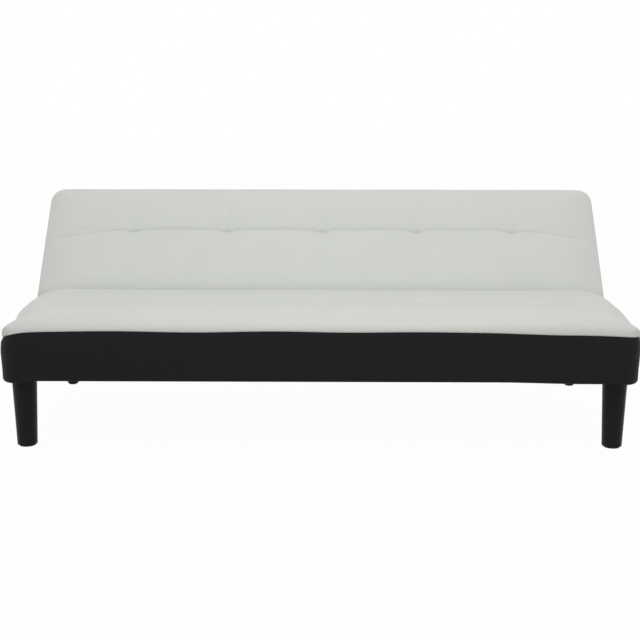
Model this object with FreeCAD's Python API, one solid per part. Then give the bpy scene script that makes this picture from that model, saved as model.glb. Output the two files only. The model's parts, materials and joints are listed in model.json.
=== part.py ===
import FreeCAD, Part
import math
import os

from FreeCAD import Vector

# A click clack sofa bed: an upholstered seat panel on four legs and an upholstered
# backrest panel that turns on two toothed hinges. Millimetres, +X along the sofa,
# -Y the front, +Z up. Everything is laid out with y = 0 at the front of the seat and
# z = 0 on the floor; the finished model is then centred on its own depth.

# ---------------------------------------------------------------- driving sizes
sofa_width = 1800.0
seat_depth = 448.0
leg_height = 205.0
seat_band_height = 145.0
seat_crown = 44.0
back_length = 490.0
back_band_height = 78.0
back_crown = 38.0
sofa_recline = 42.0
forward_tilt = 20.0

cover_thickness = 2.0
cloth_thickness = 1.2
band_bottom_radius = 14.0
band_wrap = 30.0
front_corner_radius = 50.0
rear_corner_radius = 15.0
back_corner_radius = 50.0
seat_edge_rise = 8.0
back_edge_rise = 8.0
seat_crown_width = 90.0
back_crown_width = 75.0

rail_thickness = 25.0
seat_rail_height = 96.0
back_rail_height = 55.0
cross_rail_height = 45.0
cross_rail_offset = 300.0
corner_block_size = 70.0
corner_block_height = 45.0

spring_count = 8
spring_wire_radius = 1.75
spring_loop_radius = 15.0
spring_run_half = 12.0
spring_end_inset = 12.0
clip_width = 16.0
clip_sheet = 1.2
clip_length = 12.0
felt_thickness = 2.0
strap_count = 6
strap_width = 50.0
strap_thickness = 1.5

front_leg_inset = 55.0
front_leg_setback = 69.0
front_leg_top_radius = 35.5
front_leg_foot_radius = 28.5
rear_leg_inset = 44.0
rear_leg_setback = 760.0
rear_leg_top_radius = 22.0
rear_leg_foot_radius = 18.6
foot_edge_radius = 3.0
glide_thickness = 3.0
glide_margin = 5.0
glide_stem_radius = 3.0
glide_stem_length = 12.0
leg_bolt_radius = 4.0
leg_bolt_depth = 40.0
leg_plate_size = 48.0
leg_plate_thickness = 2.0
leg_nut_height = 6.5

plate_thickness = 4.0
plate_gap = 0.5
hinge_slot_margin = 4.0
hinge_gap = 4.0
seat_plate_length = 208.0
seat_plate_low = 80.0
seat_plate_high = 30.0
pawl_shelf_high = 14.0
hub_radius = 26.0
pivot_radius = 6.0
pivot_head_radius = 11.0
pivot_head_height = 2.5
ratchet_radius = 40.0
back_plate_length = 190.0
back_plate_low = 26.0
back_plate_high = 2.0
relax_step = 29.0
pawl_thickness = 9.0
pawl_pin_radius = 4.0
pawl_reach = 38.0
pawl_boss_radius = 8.0
pawl_tooth_angle = 250.0
pawl_tooth_depth = 5.5
pawl_tooth_tip = 6.0
pawl_tooth_root = 8.0
pawl_lift = 10.0
pawl_spring_offset = 26.0
pawl_spring_radius = 3.2
pawl_spring_wire = 0.6
pawl_spring_turns = 6
spring_tab_length = 16.0
arm_height = 40.0
arm_overlap = 190.0
arm_foot_size = 58.0
arm_foot_thickness = 4.0

bolt_radius = 4.0
bolt_head_radius = 8.0
bolt_head_height = 4.0
nut_across_flats = 13.0
nut_height = 6.5
washer_radius = 8.5
washer_thickness = 1.6
bolt_end = 2.0
seat_bolt_inset = 40.0
back_bolt_near_offset = 90.0
back_bolt_far_offset = 165.0

# ---------------------------------------------------------------- clearances
running_clearance = 0.05
bolt_clearance = 0.3
fit_gap = 0.3
tooth_gap = 0.6
slot_gap = 3.0
cutter_reach = 5.0

# ---------------------------------------------------------------- derived sizes
half_width = sofa_width / 2
front_leg_x = half_width - front_leg_inset
rear_leg_x = half_width - rear_leg_inset
seat_base = leg_height
seat_seam = seat_base + seat_band_height
seat_top = seat_seam + seat_crown
back_thickness = back_band_height + back_crown
back_half = back_thickness / 2
back_seam = back_band_height - back_half
back_end = back_length - back_half
pivot_y = seat_depth + hinge_gap + back_half
pivot_z = seat_seam - back_seam
back_turn = 90.0 - sofa_recline

rail_outer = half_width - cover_thickness
seat_rail_base = seat_base + cover_thickness
seat_rail_top = seat_rail_base + seat_rail_height
seat_plate_outer = rail_outer - rail_thickness
seat_plate_inner = seat_plate_outer - plate_thickness
back_plate_outer = seat_plate_inner - plate_gap
back_plate_inner = back_plate_outer - plate_thickness
slot_outer = seat_plate_outer + pivot_head_height + hinge_slot_margin
slot_inner = back_plate_inner - pivot_head_height - hinge_slot_margin
pocket_radius = ratchet_radius + slot_gap
spring_level = seat_rail_top + clip_sheet + spring_wire_radius
felt_level = spring_level + spring_wire_radius + clip_sheet + fit_gap
foam_level = felt_level + felt_thickness
back_rail_low = -back_half + cover_thickness
back_rail_high = back_rail_low + back_rail_height
back_rail_start = pocket_radius + slot_gap
tooth_direction = math.radians(pawl_tooth_angle)
pawl_slope = tooth_direction - math.radians(270.0)
pawl_line = ratchet_radius + tooth_gap + pawl_thickness / 2
pawl_pin_y = pawl_line * math.cos(tooth_direction) - pawl_reach * math.cos(pawl_slope)
pawl_pin_z = pawl_line * math.sin(tooth_direction) - pawl_reach * math.sin(pawl_slope)


# ---------------------------------------------------------------- helpers
def block(x0, x1, y0, y1, z0, z1):
    return Part.makeBox(x1 - x0, y1 - y0, z1 - z0, Vector(x0, y0, z0))


def rod(start, direction, length, radius):
    return Part.makeCylinder(radius, length, start, direction)


def tube_x(x0, x1, y, z, radius):
    return rod(Vector(x0, y, z), Vector(1, 0, 0), x1 - x0, radius)


def prism_x(outline, x0, x1):
    """A flat outline of (y, z) points, thick from x0 to x1."""
    points = [Vector(x0, y, z) for y, z in outline]
    face = Part.Face(Part.makePolygon(points + points[:1]))
    return face.extrude(Vector(x1 - x0, 0, 0))


def mirrored(shape):
    return shape.mirror(Vector(0, 0, 0), Vector(1, 0, 0))


def both_sides(shape):
    return [shape, mirrored(shape)]


def hex_nut_x(x0, x1, y, z, hole_radius):
    corner = nut_across_flats / math.sqrt(3)
    outline = []
    for k in range(6):
        angle = math.radians(60 * k)
        outline.append((y + corner * math.cos(angle), z + corner * math.sin(angle)))
    return prism_x(outline, x0, x1).cut(tube_x(x0, x1, y, z, hole_radius))


def face_of(edges):
    return Part.Face(Part.Wire(Part.__sortEdges__(edges)))


def rounded_rectangle(x_half, y0, y1, front_radius, rear_radius, z0, z1):
    """An upright prism with rounded corners, seen in plan."""
    corners = [
        (-x_half, y0, front_radius, 180),
        (x_half, y0, front_radius, 270),
        (x_half, y1, rear_radius, 0),
        (-x_half, y1, rear_radius, 90),
    ]
    arcs = []
    for x, y, radius, start in corners:
        centre = Vector(x - math.copysign(radius, x), y + (radius if y == y0 else -radius), z0)
        circle = Part.Circle(centre, Vector(0, 0, 1), radius)
        arcs.append(circle.toShape(math.radians(start), math.radians(start + 90)))
    edges = list(arcs)
    for k, arc in enumerate(arcs):
        start = arc.Vertexes[-1].Point
        end = arcs[(k + 1) % 4].Vertexes[0].Point
        edges.append(Part.LineSegment(start, end).toShape())
    return face_of(edges).extrude(Vector(0, 0, z1 - z0))


def crown_arc(place, edge, edge_level, inner, top):
    """An arc that runs level into a panel's top, and a little way past the panel's edge."""
    run = abs(inner - edge)
    rise = top - edge_level
    radius = (run * run + rise * rise) / (2 * rise)
    outward = math.copysign(1.0, edge - inner)
    full_turn = math.asin((run + (radius - run) / 2) / radius)
    points = []
    for turn in (full_turn, full_turn / 2, 0.0):
        along = inner + outward * radius * math.sin(turn)
        points.append((along, top - radius + radius * math.cos(turn)))
    arc = Part.Arc(*[place(along, level) for along, level in points]).toShape()
    return arc, points[0]


def crowned_prism(place, along, low, high, base, edge, top, run, round_low=False):
    """A long prism with a crowned top whose sides stand outside the panel.

    Its low end is a half round as deep as the panel if round_low is set.
    """
    high_arc, high_end = crown_arc(place, high, edge, high - run, top)
    high_foot = place(high_end[0], base)
    edges = [high_arc, Part.LineSegment(place(*high_end), high_foot).toShape()]
    if round_low:
        half = (top - base) / 2
        low_top = place(low + half, top)
        low_foot = place(low + half, base)
        edges.append(Part.Arc(low_foot, place(low, base + half), low_top).toShape())
    else:
        low_arc, low_end = crown_arc(place, low, edge, low + run, top)
        low_top = place(low + run, top)
        low_foot = place(low_end[0], base)
        edges.append(low_arc)
        edges.append(Part.LineSegment(place(*low_end), low_foot).toShape())
    edges.append(Part.LineSegment(low_foot, high_foot).toShape())
    edges.append(Part.LineSegment(low_top, place(high - run, top)).toShape())
    return face_of(edges).extrude(along)


# ---------------------------------------------------------------- upholstered bodies
def panel_plan(x_half, low, high, low_corner, high_corner, base, top, bottom_radius):
    """A panel's outline in plan, taller than the panel, with its lower edges rounded."""
    plan = rounded_rectangle(
        x_half, low, high, low_corner, high_corner, base, top + cutter_reach
    )
    lower = [e for e in plan.Edges if e.BoundBox.ZMax < base + 0.01]
    return plan.makeFillet(bottom_radius, lower)


def seat_body(inset):
    """Everything inside the seat's upholstery, drawn in by an inset."""
    x_half = half_width - inset
    front = inset
    rear = seat_depth - inset
    base = seat_base + inset
    top = seat_top - inset
    edge = seat_seam + seat_edge_rise - inset
    plan = panel_plan(
        x_half, front, rear, front_corner_radius - inset, rear_corner_radius - inset,
        base, top, band_bottom_radius - inset,
    )
    across = crowned_prism(
        lambda a, b: Vector(a, front - cutter_reach, b),
        Vector(0, rear - front + 2 * cutter_reach, 0),
        -x_half, x_half, base - cutter_reach, edge, top, seat_crown_width,
    )
    along = crowned_prism(
        lambda a, b: Vector(-x_half - cutter_reach, a, b),
        Vector(2 * x_half + 2 * cutter_reach, 0, 0),
        front, rear, base - cutter_reach, edge, top, seat_crown_width,
    )
    return plan.common(across).common(along)


def back_body(inset):
    """Everything inside the backrest's upholstery, laid flat with its pivot at the origin."""
    x_half = half_width - inset
    low = -back_half + inset
    end = back_end - inset
    base = -back_half + inset
    top = back_half - inset
    edge = back_seam + back_edge_rise - inset
    plan = panel_plan(
        x_half, low - cutter_reach, end, rear_corner_radius - inset,
        back_corner_radius - inset, base, top, band_bottom_radius - inset,
    )
    across = crowned_prism(
        lambda a, b: Vector(a, low - 2 * cutter_reach, b),
        Vector(0, end - low + 3 * cutter_reach, 0),
        -x_half, x_half, base - cutter_reach, edge, top, back_crown_width,
    )
    along = crowned_prism(
        lambda a, b: Vector(-x_half - cutter_reach, a, b),
        Vector(2 * x_half + 2 * cutter_reach, 0, 0),
        low, end, base, edge, top, back_crown_width, True,
    )
    return plan.common(across).common(along)


def place_back(shape):
    """Turns a flat backrest shape to the sofa position on its pivot."""
    turned = shape.copy()
    turned.rotate(Vector(0, 0, 0), Vector(1, 0, 0), back_turn)
    turned.translate(Vector(0, pivot_y, pivot_z))
    return turned


def place_hinge(shape):
    """Moves a hinge shape drawn about the pivot to the pivot, with no turn."""
    moved = shape.copy()
    moved.translate(Vector(0, pivot_y, pivot_z))
    return moved


def seat_plate_slot():
    """The slot at the seat's rear corner that the hinge plate and the leg arm pass through."""
    slot = block(
        seat_plate_inner - fit_gap, seat_plate_outer,
        seat_depth - rail_thickness - cover_thickness - 1, seat_depth + 1,
        seat_base, pivot_z - seat_plate_high + fit_gap,
    )
    return Part.makeCompound(both_sides(slot))


def back_hinge_pocket():
    """The room that the hinge takes at the backrest's round edge, laid flat."""
    disc = tube_x(slot_inner, slot_outer, 0, 0, pocket_radius)
    mouth = block(slot_inner, slot_outer, -back_half - 1, fit_gap, -back_half - 1, back_half + 1)
    return Part.makeCompound(both_sides(disc.fuse(mouth)))


# ---------------------------------------------------------------- seat frame
def front_leg_hole(z0, z1):
    shank = rod(
        Vector(front_leg_x, front_leg_setback, z0), Vector(0, 0, 1), z1 - z0,
        leg_bolt_radius + fit_gap,
    )
    return Part.makeCompound(both_sides(shank))


def seat_bolt_places():
    """(y, z) of the bolts that hold each hinge plate and each leg arm to its end rail."""
    plate_z = pivot_z - (seat_plate_low + seat_plate_high) / 2
    plate_start = seat_depth - seat_plate_length
    plate_end = seat_depth - rail_thickness - cover_thickness
    arm_z = seat_rail_base + arm_height / 2
    arm_start = seat_depth - arm_overlap
    return [
        (plate_start + seat_bolt_inset / 2, plate_z),
        (plate_end - seat_bolt_inset / 2, plate_z),
        (arm_start + seat_bolt_inset / 2, arm_z),
        (plate_end - seat_bolt_inset / 2, arm_z),
    ]


def bolt_bore(x0, x1, y, z):
    """A through bore with a recess for the bolt's head in the outer face."""
    bore = tube_x(x0, x1, y, z, bolt_radius + bolt_clearance)
    recess = tube_x(
        x1 - bolt_head_height - fit_gap, x1, y, z, bolt_head_radius + bolt_clearance
    )
    return bore.fuse(recess)


def seat_end_rails():
    rail = block(seat_plate_outer, rail_outer, 0, seat_depth, seat_rail_base, seat_rail_top)
    rail = rail.common(seat_body(cover_thickness))
    for y, z in seat_bolt_places():
        rail = rail.cut(bolt_bore(seat_plate_outer, rail_outer, y, z))
    return both_sides(rail)


def seat_front_rail():
    front = cover_thickness
    rail = block(
        -seat_plate_outer, seat_plate_outer, front, front + rail_thickness,
        seat_rail_base, seat_rail_top,
    )
    return [rail.common(seat_body(cover_thickness))]


def seat_rear_rail():
    rear = seat_depth - cover_thickness
    reach = seat_plate_inner - fit_gap
    rail = block(-reach, reach, rear - rail_thickness, rear, seat_rail_base, seat_rail_top)
    return [rail.common(seat_body(cover_thickness))]


def seat_cross_rails():
    front = cover_thickness + rail_thickness
    rear = seat_depth - cover_thickness - rail_thickness
    rails = []
    for x in (-cross_rail_offset, cross_rail_offset):
        rails.append(
            block(
                x - rail_thickness / 2, x + rail_thickness / 2, front, rear,
                seat_rail_base, seat_rail_base + cross_rail_height,
            )
        )
    return rails


def seat_corner_blocks():
    front = cover_thickness + rail_thickness
    corner = block(
        seat_plate_outer - corner_block_size, seat_plate_outer, front, front + corner_block_size,
        seat_rail_base, seat_rail_base + corner_block_height,
    )
    top = seat_rail_base + corner_block_height
    return both_sides(corner.cut(front_leg_hole(seat_rail_base, top)))


# ---------------------------------------------------------------- seat springs and padding
def spring_positions(count, reach):
    step = 2 * reach / count
    return [-reach + step * (k + 0.5) for k in range(count)]


def seat_spring(x):
    """One zigzag spring: straight runs along X joined by half circles, front to rear."""
    front = cover_thickness + spring_end_inset
    rear = seat_depth - cover_thickness - spring_end_inset
    loops = int((rear - front) / (2 * spring_loop_radius))
    radius = (rear - front) / (2 * loops)
    edges = []
    side = 1
    y = front
    z = spring_level
    for k in range(loops):
        start = Vector(x - side * spring_run_half, y, z)
        end = Vector(x + side * spring_run_half, y, z)
        edges.append(Part.LineSegment(start, end).toShape())
        middle = Vector(end.x + side * radius, y + radius, z)
        after = Vector(end.x, y + 2 * radius, z)
        edges.append(Part.Arc(end, middle, after).toShape())
        y += 2 * radius
        side = -side
    last = Vector(x + side * spring_run_half, y, z)
    edges.append(Part.LineSegment(Vector(x - side * spring_run_half, y, z), last).toShape())
    path = Part.Wire(edges)
    first = Vector(x - spring_run_half, front, z)
    profile = Part.Wire([Part.Circle(first, Vector(1, 0, 0), spring_wire_radius).toShape()])
    return path.makePipeShell([profile], True, False)


def seat_springs():
    reach = seat_plate_inner - corner_block_size / 2
    return [seat_spring(x) for x in spring_positions(spring_count, reach)]


def seat_spring_clips():
    """A folded steel clip round the end run of each spring, seated on the rail."""
    clips = []
    reach = seat_plate_inner - corner_block_size / 2
    outer = 2 * (spring_wire_radius + clip_sheet)
    inner = spring_wire_radius + fit_gap / 2
    for x in spring_positions(spring_count, reach):
        for y, outward in (
            (cover_thickness + spring_end_inset, -1),
            (seat_depth - cover_thickness - spring_end_inset, 1),
        ):
            body = block(
                x - clip_width / 2, x + clip_width / 2,
                y - clip_length / 2, y + clip_length / 2,
                seat_rail_top, seat_rail_top + outer,
            )
            channel = block(
                x - clip_width, x + clip_width,
                min(y - outward * clip_length, y + outward * inner),
                max(y - outward * clip_length, y + outward * inner),
                spring_level - inner, spring_level + inner,
            )
            clips.append(body.cut(channel))
    return clips


def seat_felt():
    inside = seat_body(2 * cover_thickness)
    sheet = block(-half_width, half_width, 0, seat_depth, felt_level, foam_level)
    return [inside.common(sheet)]


def seat_foam():
    upper = block(-half_width, half_width, 0, seat_depth, foam_level, seat_top)
    return [seat_body(cover_thickness).common(upper)]


def seat_skin():
    return seat_body(0).cut(seat_body(cover_thickness))


def seat_top_cover():
    above = block(-half_width, half_width, 0, seat_depth, seat_seam, seat_top)
    return [seat_skin().common(above)]


def seat_side_band():
    below = block(-half_width, half_width, 0, seat_depth, seat_base, seat_seam)
    hole = block(
        -half_width + band_wrap, half_width - band_wrap, band_wrap, seat_depth - band_wrap,
        seat_base, seat_rail_base,
    )
    return [seat_skin().common(below).cut(hole).cut(seat_plate_slot())]


def seat_dust_cover():
    sheet = block(
        -half_width + band_wrap + fit_gap, half_width - band_wrap - fit_gap,
        band_wrap + fit_gap, seat_depth - band_wrap - fit_gap,
        seat_rail_base - cloth_thickness, seat_rail_base,
    )
    plate_half = leg_plate_size / 2 + fit_gap
    plate_hole = block(
        front_leg_x - plate_half, front_leg_x + plate_half,
        front_leg_setback - plate_half, front_leg_setback + plate_half,
        seat_base, seat_rail_base,
    )
    return [sheet.cut(Part.makeCompound(both_sides(plate_hole))).cut(seat_plate_slot())]


# ---------------------------------------------------------------- legs
def leg(x, y, top_radius, foot_radius, top):
    """A tapered round leg with a softened foot and bores for its bolt and its glide."""
    cone = Part.makeCone(
        foot_radius, top_radius, top - glide_thickness, Vector(x, y, glide_thickness)
    )
    foot = [e for e in cone.Edges if e.BoundBox.ZMax < glide_thickness + 0.01 and e.Closed]
    cone = cone.makeFillet(foot_edge_radius, foot)
    bolt = rod(
        Vector(x, y, top - leg_bolt_depth), Vector(0, 0, 1), leg_bolt_depth,
        leg_bolt_radius + fit_gap,
    )
    stem = rod(
        Vector(x, y, glide_thickness), Vector(0, 0, 1), glide_stem_length + fit_gap,
        glide_stem_radius + fit_gap,
    )
    return cone.cut(bolt).cut(stem)


def front_leg():
    return leg(
        front_leg_x, front_leg_setback, front_leg_top_radius, front_leg_foot_radius, seat_base
    )


def rear_leg():
    top = seat_base - arm_foot_thickness
    return leg(rear_leg_x, rear_leg_setback, rear_leg_top_radius, rear_leg_foot_radius, top)


def leg_glides():
    glides = []
    for x, y, foot_radius in (
        (front_leg_x, front_leg_setback, front_leg_foot_radius),
        (rear_leg_x, rear_leg_setback, rear_leg_foot_radius),
    ):
        pad = rod(Vector(x, y, 0), Vector(0, 0, 1), glide_thickness, foot_radius - glide_margin)
        stem = rod(
            Vector(x, y, 0), Vector(0, 0, 1), glide_thickness + glide_stem_length,
            glide_stem_radius,
        )
        glides += both_sides(pad.fuse(stem).removeSplitter())
    return glides


def front_leg_plates():
    half = leg_plate_size / 2
    plate = block(
        front_leg_x - half, front_leg_x + half,
        front_leg_setback - half, front_leg_setback + half,
        seat_rail_base - leg_plate_thickness, seat_rail_base,
    )
    return both_sides(plate.cut(front_leg_hole(seat_base - 1, seat_rail_base + 1)))


def front_leg_bolts():
    """Hanger bolts: screwed into the leg below and through the corner block above."""
    bottom = seat_base - leg_bolt_depth + fit_gap
    top = seat_rail_base + corner_block_height + leg_nut_height + bolt_end
    bolt = rod(
        Vector(front_leg_x, front_leg_setback, bottom), Vector(0, 0, 1), top - bottom,
        leg_bolt_radius,
    )
    return both_sides(bolt)


def upright_nut(x, y, z):
    corner = nut_across_flats / math.sqrt(3)
    points = []
    for k in range(6):
        angle = math.radians(60 * k)
        points.append(Vector(x + corner * math.cos(angle), y + corner * math.sin(angle), z))
    face = Part.Face(Part.makePolygon(points + points[:1]))
    nut = face.extrude(Vector(0, 0, leg_nut_height))
    bore = rod(Vector(x, y, z), Vector(0, 0, 1), leg_nut_height, leg_bolt_radius + fit_gap / 2)
    return nut.cut(bore)


def leg_nuts():
    block_top = seat_rail_base + corner_block_height
    nuts = both_sides(upright_nut(front_leg_x, front_leg_setback, block_top))
    nuts += both_sides(upright_nut(rear_leg_x, rear_leg_setback, seat_base))
    return nuts


def rear_leg_bolts():
    bottom = seat_base - arm_foot_thickness - leg_bolt_depth + fit_gap
    top = seat_base + leg_nut_height + bolt_end
    bolt = rod(
        Vector(rear_leg_x, rear_leg_setback, bottom), Vector(0, 0, 1), top - bottom,
        leg_bolt_radius,
    )
    return both_sides(bolt)


# ---------------------------------------------------------------- hinge parts on the seat
def rear_leg_arm():
    """A steel arm along the end rail that reaches back under the backrest to the rear leg."""
    half = arm_foot_size / 2
    web_rear = rear_leg_setback + half
    web = block(
        seat_plate_inner, seat_plate_outer, seat_depth - arm_overlap, web_rear,
        seat_rail_base, seat_rail_base + arm_height,
    )
    rise = block(
        seat_plate_inner, seat_plate_outer, rear_leg_setback - half, web_rear,
        seat_base - arm_foot_thickness, seat_rail_base,
    )
    foot = block(
        rear_leg_x - half, rear_leg_x + half, rear_leg_setback - half, web_rear,
        seat_base - arm_foot_thickness, seat_base,
    )
    arm = web.fuse(rise).fuse(foot).removeSplitter()
    for y, z in seat_bolt_places()[2:]:
        arm = arm.cut(
            tube_x(seat_plate_inner, seat_plate_outer, y, z, bolt_radius + bolt_clearance)
        )
    bolt = rod(
        Vector(rear_leg_x, rear_leg_setback, seat_base - arm_foot_thickness), Vector(0, 0, 1),
        arm_foot_thickness, leg_bolt_radius + fit_gap,
    )
    return arm.cut(bolt)


def pawl_spring_place():
    """x and y, about the pivot, of the upright spring under the pawl, and its two ends."""
    slope = pawl_slope - math.radians(pawl_lift)
    x = seat_plate_inner - pawl_spring_radius - pawl_spring_wire - fit_gap
    y = pawl_pin_y + pawl_spring_offset
    z_top = pawl_pin_z + pawl_spring_offset * math.tan(slope)
    z_top -= pawl_thickness / 2 / math.cos(slope)
    z_top -= (pawl_spring_radius + pawl_spring_wire) * abs(math.tan(slope))
    z_bottom = -seat_plate_low + plate_thickness
    return x, y, z_bottom, z_top


def hinge_seat_plate():
    """The plate that carries the pivot, the pawl and its spring, bolted to the end rail."""
    shelf_end = -hinge_gap
    rail = block(
        seat_plate_inner, seat_plate_outer, seat_depth - seat_plate_length - pivot_y, shelf_end,
        -seat_plate_low, -seat_plate_high,
    )
    shelf = block(
        seat_plate_inner, seat_plate_outer, -back_half - fit_gap, shelf_end,
        -seat_plate_low, -pawl_shelf_high,
    )
    neck = prism_x(
        [
            (-back_half, -pawl_shelf_high - 1),
            (-hub_radius * 0.8, hub_radius * 0.6),
            (hub_radius * 0.9, -hub_radius * 0.4),
            (shelf_end, -seat_plate_high - 1),
            (-back_half, -seat_plate_high - 1),
        ],
        seat_plate_inner, seat_plate_outer,
    )
    hub = tube_x(seat_plate_inner, seat_plate_outer, 0, 0, hub_radius)
    x, y, z_bottom, z_top = pawl_spring_place()
    tab = block(
        x - pawl_spring_radius - pawl_spring_wire, seat_plate_inner,
        y - spring_tab_length / 2, y + spring_tab_length / 2,
        -seat_plate_low, z_bottom,
    )
    plate = rail.fuse(shelf).fuse(neck).fuse(hub).fuse(tab).removeSplitter()
    plate = plate.cut(
        tube_x(seat_plate_inner, seat_plate_outer, 0, 0, pivot_radius + running_clearance)
    )
    plate = plate.cut(
        tube_x(
            seat_plate_inner, seat_plate_outer, pawl_pin_y, pawl_pin_z,
            pawl_pin_radius + running_clearance,
        )
    )
    plate = place_hinge(plate)
    for y, z in seat_bolt_places()[:2]:
        plate = plate.cut(
            tube_x(seat_plate_inner, seat_plate_outer, y, z, bolt_radius + bolt_clearance)
        )
    return plate


def headed_pin(y, z, radius, head_radius):
    """A rivet through the plates, with a head outside the seat plate and one inside."""
    shank = tube_x(back_plate_inner - fit_gap, seat_plate_outer + fit_gap, y, z, radius)
    outer = tube_x(
        seat_plate_outer + fit_gap, seat_plate_outer + fit_gap + pivot_head_height, y, z,
        head_radius,
    )
    inner = tube_x(
        back_plate_inner - fit_gap - pivot_head_height, back_plate_inner - fit_gap, y, z,
        head_radius,
    )
    return shank.fuse(outer).fuse(inner).removeSplitter()


def hinge_pivot_pins():
    pin = headed_pin(0, 0, pivot_radius, pivot_head_radius)
    return both_sides(place_hinge(pin))


def pawl_pins():
    pin = headed_pin(pawl_pin_y, pawl_pin_z, pawl_pin_radius, pawl_boss_radius - 1)
    return both_sides(place_hinge(pin))


def bolts_through(places, rail_inner):
    """Carriage bolts with their heads in the rail's outer face and the thread inwards."""
    bolts = []
    thread_end = rail_inner - plate_thickness - washer_thickness - nut_height - bolt_end
    for y, z in places:
        head = tube_x(rail_outer - bolt_head_height, rail_outer, y, z, bolt_head_radius)
        shank = tube_x(thread_end, rail_outer - bolt_head_height, y, z, bolt_radius)
        bolts.append(head.fuse(shank).removeSplitter())
    return bolts


def washers_for(places, rail_inner):
    face = rail_inner - plate_thickness
    washers = []
    for y, z in places:
        ring = tube_x(face - washer_thickness, face, y, z, washer_radius)
        hole = tube_x(face - washer_thickness, face, y, z, bolt_radius + bolt_clearance)
        washers.append(ring.cut(hole))
    return washers


def nuts_for(places, rail_inner):
    face = rail_inner - plate_thickness - washer_thickness
    return [
        hex_nut_x(face - nut_height, face, y, z, bolt_radius + fit_gap / 2) for y, z in places
    ]


def mirrored_group(shapes):
    group = []
    for shape in shapes:
        group += both_sides(shape)
    return group


# ---------------------------------------------------------------- pawl and its spring
def tooth_outline(grow):
    """The pawl's tooth about the pivot: a wedge that points at the pivot."""
    out = (math.cos(tooth_direction), math.sin(tooth_direction))
    side = (-out[1], out[0])
    tip = ratchet_radius - pawl_tooth_depth - grow
    root = ratchet_radius + pawl_thickness
    tip_half = pawl_tooth_tip / 2 + grow
    root_half = pawl_tooth_root / 2 + grow
    corners = [(tip, -tip_half), (tip, tip_half), (root, root_half), (root, -root_half)]
    return [(out[0] * r + side[0] * s, out[1] * r + side[1] * s) for r, s in corners]


def hinge_pawl():
    """The pawl, drawn in its notch and then turned on its pin until it is clear of the teeth."""
    along = (math.cos(pawl_slope), math.sin(pawl_slope))
    across = (-along[1], along[0])
    reach = pawl_reach + pawl_tooth_root / 2
    half = pawl_thickness / 2
    corners = [(0, -half), (reach, -half), (reach, half), (0, half)]
    bar = prism_x(
        [
            (
                pawl_pin_y + along[0] * a + across[0] * c,
                pawl_pin_z + along[1] * a + across[1] * c,
            )
            for a, c in corners
        ],
        back_plate_inner, back_plate_outer,
    )
    boss = tube_x(back_plate_inner, back_plate_outer, pawl_pin_y, pawl_pin_z, pawl_boss_radius)
    tooth = prism_x(tooth_outline(0), back_plate_inner, back_plate_outer)
    pawl = bar.fuse(boss).fuse(tooth).removeSplitter()
    pawl = pawl.cut(
        tube_x(
            back_plate_inner, back_plate_outer, pawl_pin_y, pawl_pin_z,
            pawl_pin_radius + running_clearance,
        )
    )
    pawl.rotate(Vector(0, pawl_pin_y, pawl_pin_z), Vector(1, 0, 0), -pawl_lift)
    return place_hinge(pawl)


def pawl_spring():
    x, y, z_bottom, z_top = pawl_spring_place()
    low = z_bottom + pawl_spring_wire
    high = z_top - pawl_spring_wire - fit_gap
    pitch = (high - low) / pawl_spring_turns
    helix = Part.makeHelix(pitch, high - low, pawl_spring_radius)
    profile = Part.Wire(
        [
            Part.Circle(
                Vector(pawl_spring_radius, 0, 0), Vector(0, 1, 0), pawl_spring_wire
            ).toShape()
        ]
    )
    coil = Part.Wire(helix).makePipeShell([profile], True, True)
    coil.translate(Vector(x, y, low))
    return place_hinge(coil)


# ---------------------------------------------------------------- hinge plate on the backrest
def hinge_back_plate():
    """The toothed plate: a ratchet disc about the pivot and an arm along the end rail."""
    disc = tube_x(back_plate_inner, back_plate_outer, 0, 0, ratchet_radius)
    arm = block(
        back_plate_inner, back_plate_outer, 0, back_plate_length,
        -back_plate_low, -back_plate_high,
    )
    plate = disc.fuse(arm).removeSplitter()
    plate = plate.cut(
        tube_x(back_plate_inner, back_plate_outer, 0, 0, pivot_radius + running_clearance)
    )
    for y, z in back_bolt_places():
        plate = plate.cut(
            tube_x(back_plate_inner, back_plate_outer, y, z, bolt_radius + bolt_clearance)
        )
    notch = prism_x(tooth_outline(tooth_gap), back_plate_inner - 1, back_plate_outer + 1)
    for stop in (-forward_tilt, 0.0, relax_step, back_turn):
        turned = notch.copy()
        turned.rotate(Vector(0, 0, 0), Vector(1, 0, 0), stop - back_turn)
        plate = plate.cut(turned)
    return place_back(plate)


# ---------------------------------------------------------------- backrest frame
def back_bolt_places():
    """(y, z) of the bolts that hold each toothed plate to its end rail, laid flat."""
    level = -(back_plate_low + back_plate_high) / 2
    return [(back_bolt_near_offset, level), (back_bolt_far_offset, level)]


def back_end_rails():
    rail = block(
        back_plate_outer, rail_outer, back_rail_start, back_end, back_rail_low, back_rail_high
    )
    rail = rail.common(back_body(cover_thickness))
    for y, z in back_bolt_places():
        rail = rail.cut(bolt_bore(back_plate_outer, rail_outer, y, z))
    return both_sides(place_back(rail))


def back_bottom_rail():
    rail = block(
        -back_plate_outer, back_plate_outer, back_rail_start, back_rail_start + rail_thickness,
        back_rail_low, back_rail_high,
    )
    notch = block(
        back_plate_inner - fit_gap, back_plate_outer,
        back_rail_start, back_rail_start + rail_thickness,
        -back_plate_low - fit_gap, back_half,
    )
    return [place_back(rail.cut(Part.makeCompound(both_sides(notch))))]


def back_top_rail():
    end = back_end - cover_thickness
    rail = block(
        -back_plate_outer, back_plate_outer, end - rail_thickness, end,
        back_rail_low, back_rail_high,
    )
    return [place_back(rail.common(back_body(cover_thickness)))]


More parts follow.
